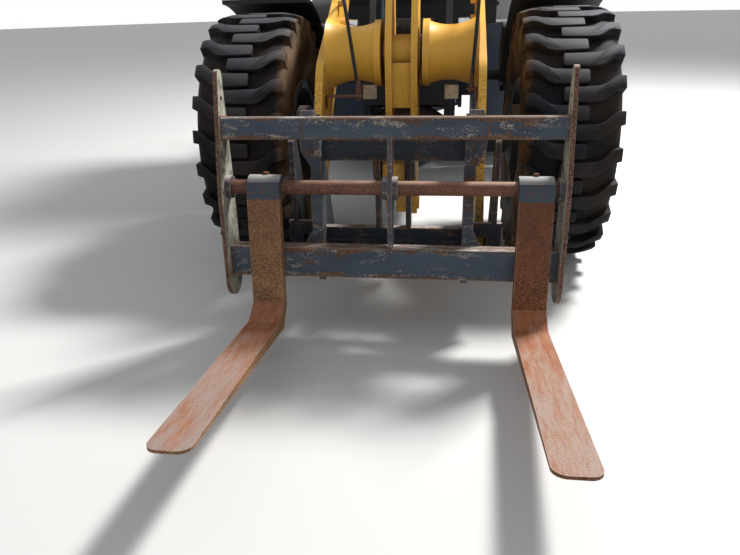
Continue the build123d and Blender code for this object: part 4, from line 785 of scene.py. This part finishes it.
# Makes a crowned pad: a cube divided, pulled in at its corners and raised between them
def crowned_pad(low, high, crown, bolster):
    low, high = Vector(low), Vector(high)
    mesh = bmesh.new()
    bmesh.ops.create_cube(mesh, size=2.0)
    bmesh.ops.subdivide_edges(mesh, edges=mesh.edges, cuts=7, use_grid_fill=True)
    for vert in mesh.verts:
        x, y, z = vert.co
        rise = (1 - x * x) * (1 - y * y)
        sides = bolster * x * x * (1 - y * y) if z > 0 else 0.0
        vert.co.z = z * (1 - crown + crown * rise) + sides
        vert.co.x = x * (1 - CORNER_PULL * z * z * y * y)
        vert.co.y = y * (1 - CORNER_PULL * z * z * x * x)
    bmesh.ops.smooth_vert(
        mesh, verts=mesh.verts, factor=0.5, use_axis_x=True, use_axis_y=True, use_axis_z=True
    )
    bmesh.ops.scale(mesh, vec=(high - low) / 2, verts=mesh.verts)
    bmesh.ops.translate(mesh, vec=(low + high) / 2, verts=mesh.verts)
    return mesh


# Blows a pad up as cloth under pressure, with how far a point may move capped
def swell(pad):
    pad.modifiers.new("even_grid", "REMESH").voxel_size = SWELL_VOXEL
    bpy.context.view_layer.update()
    even = bpy.data.meshes.new_from_object(pad.evaluated_get(bpy.context.evaluated_depsgraph_get()))
    pad.modifiers.clear()
    pad.data = even
    start = [vert.co.copy() for vert in even.vertices]
    cloth = pad.modifiers.new("cloth", "CLOTH")
    cloth.settings.use_pressure = True
    cloth.settings.uniform_pressure_force = SWELL_PRESSURE
    cloth.settings.effector_weights.gravity = 0.0
    for step in range(1, SWELL_FRAMES + 1):
        scene.frame_set(step)
    swollen = pad.evaluated_get(bpy.context.evaluated_depsgraph_get()).data
    moved = [vert.co - home for vert, home in zip(swollen.vertices, start)]
    pad.modifiers.clear()
    for vert, home, move in zip(even.vertices, start, moved):
        vert.co = home + move * min(1.0, SWELL_CAP / max(move.length, 1e-6))
    even.shade_smooth()
    scene.frame_set(1)


cushion_mesh = crowned_pad(
    (-SEAT_SIDE + 0.008, CUSHION[0] + 0.008, CUSHION[2] + 0.004),
    (SEAT_SIDE - 0.008, CUSHION[1] - 0.008, CUSHION[3] - 0.008), PAD_CROWN, PAD_BOLSTER,
)
back_mesh = crowned_pad(
    (-SEAT_SIDE + 0.023, -BACK_HALF, 0.004), (SEAT_SIDE - 0.023, BACK_HALF, BACK_T),
    PAD_CROWN, PAD_BOLSTER,
)
lean_back = Matrix.Translation(BACK_PLACE) @ Matrix.Rotation(math.radians(BACK_LEAN), 4, "X")
bmesh.ops.transform(back_mesh, matrix=lean_back, verts=back_mesh.verts)
for mesh, name in ((cushion_mesh, "seat_cushion"), (back_mesh, "seat_back")):
    pad = fit(mesh, name, "chassis", seat_cloth, 80.0)
    swell(pad)
    rounding = pad.modifiers.new("rounding", "SUBSURF")
    rounding.levels = 1
    rounding.render_levels = 1
    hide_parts("seat")
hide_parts("seat")


# Engine hood and exhaust: pressed sheet in yellow on two hinges, with slatted black grilles, a
# pull handle at the rear and a stack of heat-stained pipe.
coat(yellow, "engine_hood")
coat(black_plastic, "hood_grilles")
stained = painted_steel(
    "stained_pipe", rgb("3B3733"), rgb("2A2725"), rgb("5F3B26"), rgb("7B6E62"), rgb("5B5149"),
    1.2, 0.6, 0.3, 0.5,
)
coat(stained, "exhaust_stack")
HOOD_BACK = HINGE_Y + 3.0462
HANDLE_Z = 1.300
HANDLE_R = 0.007
HANDLE_HALF = 0.100
GRIP_Y = HOOD_BACK + 0.024
handle_mesh = bmesh.new()
for x in (-0.09, 0.09):
    foot = (x, HOOD_BACK - 0.002, HANDLE_Z)
    round_length(handle_mesh, foot, (x, GRIP_Y + 0.002, HANDLE_Z), HANDLE_R, 16)
grip_start, grip_end = (-HANDLE_HALF, GRIP_Y, HANDLE_Z), (HANDLE_HALF, GRIP_Y, HANDLE_Z)
round_length(handle_mesh, grip_start, grip_end, HANDLE_R, 16)
fit(handle_mesh, "hood_handle", "hood", steel_nuts)


# Fenders and work lamps: moulded fenders on brackets, and two lamps on posts behind the arms
# with a clear ribbed lens in a black housing.
coat(black_plastic, "front_fenders", "rear_fenders", "work_lamps")
LAMP_X = 0.560
LAMP_Y = -0.2317
LAMP_Z = 2.110
LAMP_LENS_HALF = (0.070, 0.045)
clear_lens = lens("clear_lens", rgb("C9CDD0"))
for side, hand in (("left", 1), ("right", -1)):
    lens_mesh = bmesh.new()
    half_x, half_z = LAMP_LENS_HALF
    low = (hand * LAMP_X - half_x, LAMP_Y - 0.006, LAMP_Z - half_z)
    rounded_block(lens_mesh, low, (hand * LAMP_X + half_x, LAMP_Y + 0.004, LAMP_Z + half_z), 0.0035, 3)
    fit(lens_mesh, f"work_lens_{side}", "front", clear_lens)


# Step treads: six ribs of steel welded along each step in the side tanks, so that a boot
# doesn't slip.
STEP_Z = (0.6205, 0.8405, 1.0605)
STEP_Y = (HINGE_Y + 0.240, HINGE_Y + 0.640)
TREAD_RIBS = 6
TREAD_X = 0.830
TREAD_PITCH = 0.036
TREAD_T = 0.006
tread_mesh = bmesh.new()
for hand in (1, -1):
    for z in STEP_Z:
        for rib in range(TREAD_RIBS):
            x = hand * (TREAD_X + TREAD_PITCH * rib)
            low = (x - TREAD_T, STEP_Y[0], z - 0.001)
            rounded_block(tread_mesh, low, (x + TREAD_T, STEP_Y[1], z + TREAD_T), 0.002)
fit(tread_mesh, "step_treads", "chassis", frame_grey)


# Boom: two plate arms and a waisted cross tube, welded and sprayed yellow. Work has chipped the
# lower arms, so brown specks thicken towards their front ends. The yellow is painted darker in
# closed-in corners as shade, and made rougher there as with grime.
ARM_X = 0.400
EARS_X = 0.150
CHIPS_MANY_Z = 0.85
CHIPS_FEW_Z = 1.50
boom_finish = Finish(bpy.data.materials.new("arm_yellow"))
arm_broad = boom_finish.cloud(1.5, 5.0)
arm_spots = boom_finish.cloud(95.0, 5.0, 0.65)
arm_blots = boom_finish.cloud(14.0, 8.0, 0.7)
arm_edge = boom_finish.edge(0.006).ramp(0.01, 0.20)
low_on_arm = 1 - boom_finish.part_of("Z").ramp(CHIPS_MANY_Z, CHIPS_FEW_Z)
off_middle = boom_finish.part_of("X").size()
on_ears = 1 - off_middle.ramp(EARS_X - 0.005, EARS_X)
chipping = off_middle.ramp(ARM_X - 0.002, ARM_X).largest(on_ears * 0.4)
specks = arm_spots.ramp(0.53, 0.57) * (low_on_arm * 0.95 + 0.03) * chipping
blots = (arm_blots * (0.82 + low_on_arm * 0.16)).ramp(0.53, 0.57)
blots = blots * low_on_arm.ramp(0.1, 0.9) * chipping
# Darker yellow where the arms' corners are closed in: painted shade, with rougher paint as grime
arm_grime_and_shade = (1 - boom_finish.openness(0.12)) * 0.6
arm_tint = boom_finish.mix(arm_broad.ramp(0.3, 0.7), YELLOW_PAINT, YELLOW_SHADE)
arm_tint = boom_finish.mix(arm_grime_and_shade, arm_tint, rgb("7A6230"))
arm_tint = boom_finish.mix(specks.largest(blots) * 0.85, arm_tint, YELLOW_RUST)
arm_tint = boom_finish.mix(arm_edge * arm_blots.ramp(0.35, 0.6) * 0.6, arm_tint, rgb("B9A98A"))
arm_yellow = boom_finish.set(
    Base_Color=arm_tint,
    Specular_IOR_Level=0.35,
    Roughness=specks * 0.3 + arm_grime_and_shade * 0.3 + 0.36,
    Normal=boom_finish.bump(arm_blots * 0.4 - specks * 0.5, 0.001),
)
coat(arm_yellow, "boom", "bell_crank", "tilt_link")


# Boom pipes: two slim steel tubes, painted black, bent from a clip on each arm over the cross
# tube and down in front of it. Each ends in a flared sleeve and a rusty hexagon union on a
# bracket from the arm. They are stiff and move with the boom.
PIPE_R = 0.0095
ARM_FACE = ARM_X + 0.0005
# Sleeve, union and stub, as (start and end above the pipe's end, radius, sides)
UNION_STACK = [
    (0.050, 0.012, 0.0125, 20),
    (0.014, -0.014, 0.0165, 6),
    (-0.012, -0.045, 0.0120, 20),
]
# Pipes, as points (across, ahead of the hinge, up)
PIPES = [
    [(-0.372, 1.600, 1.535), (-0.360, 1.680, 1.600), (-0.315, 1.900, 1.610), (-0.290, 2.140, 1.595),
     (-0.262, 2.165, 1.420), (-0.222, 2.160, 1.110)],
    [(0.378, 1.600, 1.535), (0.386, 1.680, 1.600), (0.388, 1.900, 1.610), (0.387, 2.160, 1.595),
     (0.381, 2.180, 1.420), (0.366, 2.165, 1.140)],
]
pipe_paint = plastic("pipe_enamel", rgb("15161A"), rgb("343332"))
rusty_fitting = painted_steel(
    "rusty_fitting", rgb("6A4434"), rgb("53372B"), rgb("7C4A2E"), rgb("9A8A7C"), rgb("7A6655"),
    1.4, 0.7, 0.3, 0.6,
)
for number, points in enumerate(PIPES):
    line = bpy.data.curves.new(f"boom_pipe_{number + 1}", "CURVE")
    line.dimensions = "3D"
    line.bevel_depth = PIPE_R
    line.bevel_resolution = 3
    line.use_fill_caps = True
    run = line.splines.new("NURBS")
    run.points.add(len(points) - 1)
    for spot, point in zip(run.points, points):
        spot.co = (*ahead(*point), 1.0)
    run.order_u = 3
    run.use_endpoint_u = True
    line.resolution_u = 16
    line.materials.append(pipe_paint)
    pipe = bpy.data.objects.new(line.name, line)
    scene.collection.objects.link(pipe)
    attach(pipe, "boom")

    end = ahead(*points[-1])
    fitting_mesh = bmesh.new()
    for top, bottom, radius, sides in UNION_STACK:
        head, foot = end + Vector((0, 0, top)), end + Vector((0, 0, bottom))
        round_length(fitting_mesh, head, foot, radius, sides)
    hand = 1 if end.x > 0 else -1
    arm_face = hand * ARM_FACE
    x_low, x_high = sorted((arm_face, end.x - hand * 0.024))
    low = (x_low, end.y - 0.022, end.z - 0.030)
    rounded_block(fitting_mesh, low, (x_high, end.y + 0.022, end.z - 0.020), 0.002)
    x_low, x_high = sorted((arm_face, arm_face - hand * 0.009))
    low = (x_low, end.y - 0.022, end.z - 0.085)
    rounded_block(fitting_mesh, low, (x_high, end.y + 0.022, end.z - 0.022), 0.002)
    fit(fitting_mesh, f"pipe_union_{number + 1}", "boom", rusty_fitting)
    start = ahead(*points[0])
    clip_mesh = bmesh.new()
    x_low, x_high = sorted((arm_face, start.x - hand * 0.016))
    low = (x_low, start.y - 0.014, start.z - 0.022)
    rounded_block(clip_mesh, low, (x_high, start.y + 0.014, start.z + 0.012), 0.004)
    fit(clip_mesh, f"pipe_clip_{number + 1}", "boom", arm_yellow)


# Pins: turned steel with a greased, brown end face. The arms' pivot pins and the pins at their
# tips have two bolts in each end.
greasy_pin = painted_steel(
    "greasy_pin", rgb("4E4945"), rgb("3A3633"), rgb("6A4634"), rgb("989087"), rgb("6B5C4C"),
    0.9, 0.7, 0.5,
)
coat(greasy_pin, "crank_pin", "tip_pins", "link_pin")
# Ends of the pins, as (body, out to their face, forward, up, pin's radius)
PIN_ENDS = [("front", 0.460, 0.880, 1.930, 0.055), ("tip_carrier", 0.505, 2.480, 0.400, 0.045)]
PIN_BOLT_R = 0.009
for body, x, forward, up, radius in PIN_ENDS:
    pin_bolt_mesh = bmesh.new()
    for hand in (1, -1):
        for turn in (math.radians(60), math.radians(240)):
            spot = ahead(hand * x, forward, up)
            spot += 0.5 * radius * Vector((0, math.cos(turn), math.sin(turn)))
            foot, head = spot - Vector((hand * 0.002, 0, 0)), spot + Vector((hand * 0.008, 0, 0))
            round_length(pin_bolt_mesh, foot, head, PIN_BOLT_R, 6)
    fit(pin_bolt_mesh, f"pin_bolts_{body}", body, steel_nuts)


# Quick coupler and fork carriage: welded plate and square tube in grey-blue paint. Scraping loads
# have scratched the faces and rusted every edge under a pale crust. The top faces are worn pale
# and made paler still by a painted highlight, and the side plates' flat faces carry a pale painted
# highlight.
CARRIAGE_RUST = rgb("483227")
CARRIAGE_CRUST = rgb("A89A86")
CARRIAGE_DEPTH = 0.0012
# Pale grey-green for the side plates' flat faces: a painted highlight
PLATE_SIDE_HIGHLIGHT = rgb("A3A292")
PLATE_X = 0.758
# How far the carriage leans back about the fork shaft, and the shaft's place
LEAN = math.radians(8.0)
SHAFT_Y = HINGE_Y - 2.800
SHAFT_Z = 0.770
TO_SHAFT = -SHAFT_Z * math.cos(LEAN) - SHAFT_Y * math.sin(LEAN)
# Bars, as (middle above the shaft, half the height)
TOP_BAR = (0.265, 0.050)
LOW_BAR = (-0.350, 0.070)


# The carriage's paint: chipped on its faces, rusted along its edges, worn pale on top with a
# painted highlight there and on the side plates' flat faces
def carriage_finish(name, paint, shade, worn):
    finish = Finish(bpy.data.materials.new(name))
    finish.set(Specular_IOR_Level=0.25)
    broad = finish.cloud(2.0, 6.0, 0.62, (0.7, 2.2, 2.0))
    spots = finish.cloud(12.0, 9.0, 0.75, (0.6, 1.5, 1.5))
    speckle = finish.cloud(120.0, 5.0, 0.7)
    scratch = finish.cloud(26.0, 6.0, 0.72, (0.35, 1.0, 1.0))
    edge_zone = finish.edge(0.022).ramp(0.002, 0.07)
    sharp = finish.edge(0.006).ramp(0.01, 0.2) * spots.ramp(0.42, 0.58)
    halo = edge_zone * (spots * 0.7 + speckle * 0.3).ramp(0.40, 0.52)
    crust = edge_zone * (scratch * 0.5 + speckle * 0.5).ramp(0.54, 0.60)
    above = finish.part_of("Z") * math.cos(LEAN) + finish.part_of("Y") * math.sin(LEAN)
    above = above + TO_SHAFT
    off_top = (above - TOP_BAR[0]).size() * (1 / TOP_BAR[1])
    off_low = (above - LOW_BAR[0]).size() * (1 / LOW_BAR[1])
    off_bar = off_top.smallest(off_low)
    rim_zone = off_bar.ramp(0.45, 1.0) * (1 - off_bar.ramp(1.02, 1.06)) * 0.10
    mottled = spots * 0.6 + broad * 0.4 + rim_zone * worn
    patch = mottled.ramp(0.57 - 0.02 * worn, 0.60 - 0.02 * worn)
    scraped = (scratch * 0.6 + speckle * 0.4 + rim_zone * 0.6).ramp(0.545, 0.60)
    scraped = scraped * broad.ramp(0.32, 0.55) * worn
    tint = finish.mix(broad.ramp(0.35, 0.65), paint, shade)
    tint = finish.mix(scraped * 0.7, tint, CARRIAGE_CRUST)
    rust = finish.mix(speckle.ramp(0.35, 0.65), CARRIAGE_RUST, rgb("70533F"))
    tint = finish.mix(patch.largest(halo) * 0.9, tint, rust)
    tint = finish.mix(crust * 0.75, tint, CARRIAGE_CRUST)
    on_plate = finish.part_of("X").size().ramp(PLATE_X, PLATE_X + 0.001)
    plate_tint = finish.mix(speckle.ramp(0.42, 0.60), rgb("3B2A23"), rgb("7A5A47"))
    # Side plates: rusty brown edges, and flat faces in a pale painted highlight, patchy by noise
    side_face = finish.facing("X").size().ramp(0.80, 0.95)
    side_highlight_tint = finish.mix((spots * 0.7 + broad * 0.3).ramp(0.44, 0.60), PLATE_SIDE_HIGHLIGHT, rgb("5D5B52"))
    tint = finish.mix(on_plate, tint, finish.mix(side_face, plate_tint, side_highlight_tint))
    # Pale pinkish grey on upward faces: worn paint and dust, and a painted highlight of light on the
    # tops
    top = finish.facing("Z").ramp(0.55, 0.98) * (1 - patch * 0.6)
    pale = finish.mix((spots * 0.6 + speckle * 0.4).ramp(0.42, 0.58), rgb("B9B1A9"), rgb("8B7568"))
    tint = finish.mix(top * 0.8, tint, pale)
    tint = finish.mix(sharp * 0.6, tint, rgb("B7AAA0"))
    rough = patch.largest(halo) * 0.25 + top * 0.1 + speckle * 0.1 + 0.5
    height = speckle * 0.3 - patch * 0.4 + spots * 0.3 + crust * 0.3
    bumps = finish.bump(height, CARRIAGE_DEPTH)
    return finish.set(Base_Color=tint, Roughness=rough, Normal=bumps)


carriage_grey = carriage_finish("carriage_grey", rgb("414B58"), rgb("323A45"), 1.0)
coat(carriage_grey, "fork_frame")
coat(carriage_finish("coupler_grey", rgb("29313B"), rgb("1F252D"), 0.2), "quick_coupler")


# Weld beads of the carriage: rippled beads stand up the face of the top bar over the hooks, up
# the centre rib and where the bars meet the side plates, brown with rust.


# A place on the leaning carriage, from the fork shaft
def on_carriage(x, ahead_of, above):
    y = SHAFT_Y - ahead_of * math.cos(LEAN) + above * math.sin(LEAN)
    return Vector((x, y, SHAFT_Z + ahead_of * math.sin(LEAN) + above * math.cos(LEAN)))


weld_tint = Finish(bpy.data.materials.new("rusty_weld"))
weld_spots = weld_tint.cloud(60.0, 6.0)
rusty_weld = weld_tint.set(
    Base_Color=weld_tint.mix(weld_spots.ramp(0.3, 0.7), rgb("4A2F25"), rgb("82523A")),
    Roughness=weld_spots * 0.2 + 0.6,
    Normal=weld_tint.bump(weld_spots, 0.001),
)
# Beads, as (places across, start and end as (ahead of the shaft, above it), radius)
BEADS = [
    ((-0.395, 0.425), (0.045, 0.222), (0.045, 0.308), 0.0045),
    ((-0.0105, 0.0105), (0.004, 0.070), (0.004, 0.214), 0.004),
    ((-0.7595, 0.7595), (-0.045, 0.316), (0.045, 0.316), 0.005),
    ((-0.7595, 0.7595), (0.046, 0.218), (0.046, 0.312), 0.005),
    ((-0.7595, 0.7595), (0.020, -0.416), (0.020, -0.284), 0.005),
]
RIPPLE = 0.006


# Lays a bead of small ripples from one point to another
def lay_bead(mesh, start, end, ripples, radius):
    for ripple in range(ripples + 1):
        spot = Matrix.Translation(start.lerp(end, ripple / ripples))
        bmesh.ops.create_icosphere(mesh, subdivisions=1, radius=radius, matrix=spot)


bead_mesh = bmesh.new()
for places, foot, head, radius in BEADS:
    for x in places:
        start, end = on_carriage(x, *foot), on_carriage(x, *head)
        ripples = max(2, round((end - start).length / RIPPLE))
        lay_bead(bead_mesh, start, end, ripples, radius)
fit(bead_mesh, "weld_beads", "coupler", rusty_weld, 60.0)


# Fork shaft and forks: a bare round bar, brown with rust and paler on top, partly where the forks
# have slid and partly as a painted highlight, and forged forks, pitted with fine rust and scuffed
# pale along the blade. The sleeve that slides on the shaft keeps its grey paint, paler on its
# upward faces as a painted highlight.
SCRAPED_RUST = rgb("A0623A")
SCUFF_START = -2.46
SCUFF_END = -3.30
PIT_DEPTH = 0.0013
PAINT_END_Z = SHAFT_Z - 0.030


# Bare forged steel under fine rust
def rusted(name, dark, light, pale, speckled):
    finish = Finish(bpy.data.materials.new(name))
    finish.set(Specular_IOR_Level=0.3)
    broad = finish.cloud(3.2, 6.0, 0.65)
    blots = finish.cloud(15.0, 8.0, 0.72)
    fine = finish.cloud(190.0, 5.0, 0.7)
    tint = finish.mix((broad * 0.5 + blots * 0.5).ramp(0.38, 0.62), dark, light)
    tint = finish.mix(fine.ramp(0.51, 0.60) * speckled, tint, pale)
    tint = finish.mix((1 - fine).ramp(0.53, 0.62) * speckled, tint, rgb("2C1A14"))
    pits = finish.bump(fine * 0.5 + blots * 0.7, PIT_DEPTH)
    finish.set(Roughness=fine * 0.15 + blots * 0.2 + 0.45, Normal=pits)
    return finish, tint


shaft_finish, shaft_tint = rusted("shaft_rust", rgb("4C2E24"), rgb("6A4233"), rgb("A07C66"), 0.4)
# Paler on the shaft's top: where the forks have slid, and a painted highlight
shaft_lit = shaft_finish.facing("Z").ramp(0.6, 1.0) * shaft_finish.cloud(1.6, 4.0).ramp(0.42, 0.55)
shaft_tint = shaft_finish.mix(shaft_lit * 0.6, shaft_tint, rgb("B08C78"))
coat(shaft_finish.set(Base_Color=shaft_tint), "fork_shaft")


# A fork's rust, with its scuffed blade, the paint on its sleeve and a painted highlight on the
# sleeve's upward faces
def fork_finish(name, dark, light, pale, heel, blade):
    finish, tint = rusted(name, dark, light, pale, 0.65)
    up_shank = finish.part_of("Z").ramp(0.30, 0.72)
    tint = finish.mix(up_shank * 0.55, tint, dark)
    along = 1 - finish.part_of("Y").ramp(SCUFF_END, SCUFF_START)
    wear = finish.cloud(6.0, 9.0, 0.74, (3.6, 0.5, 3.6))
    streaks = finish.cloud(24.0, 6.0, 0.7, (2.6, 0.18, 2.6))
    on_top = finish.facing("Z").ramp(0.5, 0.95)
    scuffed = (wear * 0.6 + streaks * 0.4 + along * 0.13).ramp(0.44, 0.72)
    worn_tint = finish.mix(scuffed, finish.mix(streaks.ramp(0.3, 0.7), heel, SCRAPED_RUST), blade)
    worn_tint = finish.mix(finish.cloud(160.0, 4.0).ramp(0.54, 0.64) * 0.5, worn_tint, dark)
    tint = finish.mix(on_top * 0.92, tint, worn_tint)
    rim = finish.edge(0.005).ramp(0.01, 0.25) * finish.cloud(15.0, 6.0).ramp(0.35, 0.55)
    tint = finish.mix(rim * 0.6, tint, rgb("C4B2A4"))
    ragged = finish.part_of("Z") + finish.cloud(40.0, 6.0) * 0.02
    sleeve = ragged.ramp(PAINT_END_Z, PAINT_END_Z + 0.004)
    chips = finish.cloud(22.0, 8.0, 0.75)
    sleeve_tint = finish.mix(chips.ramp(0.52, 0.57) * 0.8, rgb("37404B"), rgb("573A2D"))
    # The sleeve's upward faces pale grey: a painted highlight
    sleeve_tint = finish.mix(finish.facing("Z").ramp(0.5, 0.95) * 0.8, sleeve_tint, rgb("A9A8A4"))
    return finish.set(Base_Color=finish.mix(sleeve, tint, sleeve_tint))


fork_rust_left = fork_finish(
    "fork_rust_left", rgb("472216"), rgb("704228"), rgb("A8713C"), rgb("8A5032"), rgb("988375")
)
fork_rust_right = fork_finish(
    "fork_rust_right", rgb("5C3B28"), rgb("8A6242"), rgb("C6A06C"), rgb("844C2F"), rgb("8F7E76")
)
coat(fork_rust_left, "fork_left")
coat(fork_rust_right, "fork_right")


# Fork bolts and joints: a rusty bolt with a washer on top of each sleeve, and a welded bead
# where sleeve and shank meet.
BOLT_FOOT = (-0.004, 0.055)
BOLT_HEAD = (-0.004, 0.070)
WASHER_R = 0.0170
BOLT_R = 0.0135
JOINT_HALF = 0.072
JOINT = (0.0565, -0.034)
JOINT_R = 0.0065
JOINT_RIPPLES = 25
for name, x, body, rust in (
    ("left", 0.640, "fork_l", fork_rust_left), ("right", -0.575, "fork_r", fork_rust_right)
):
    bolt_mesh = bmesh.new()
    foot, head = on_carriage(x, *BOLT_FOOT), on_carriage(x, *BOLT_HEAD)
    round_length(bolt_mesh, foot, foot.lerp(head, 0.25), WASHER_R, 24, 0.001)
    round_length(bolt_mesh, foot.lerp(head, 0.2), head, BOLT_R, 6, 0.002)
    fit(bolt_mesh, f"fork_bolt_{name}", body, rusty_fitting)
    joint_mesh = bmesh.new()
    start, end = on_carriage(x - JOINT_HALF, *JOINT), on_carriage(x + JOINT_HALF, *JOINT)
    lay_bead(joint_mesh, start, end, JOINT_RIPPLES, JOINT_R)
    fit(joint_mesh, f"fork_bead_{name}", body, rust, 60.0)
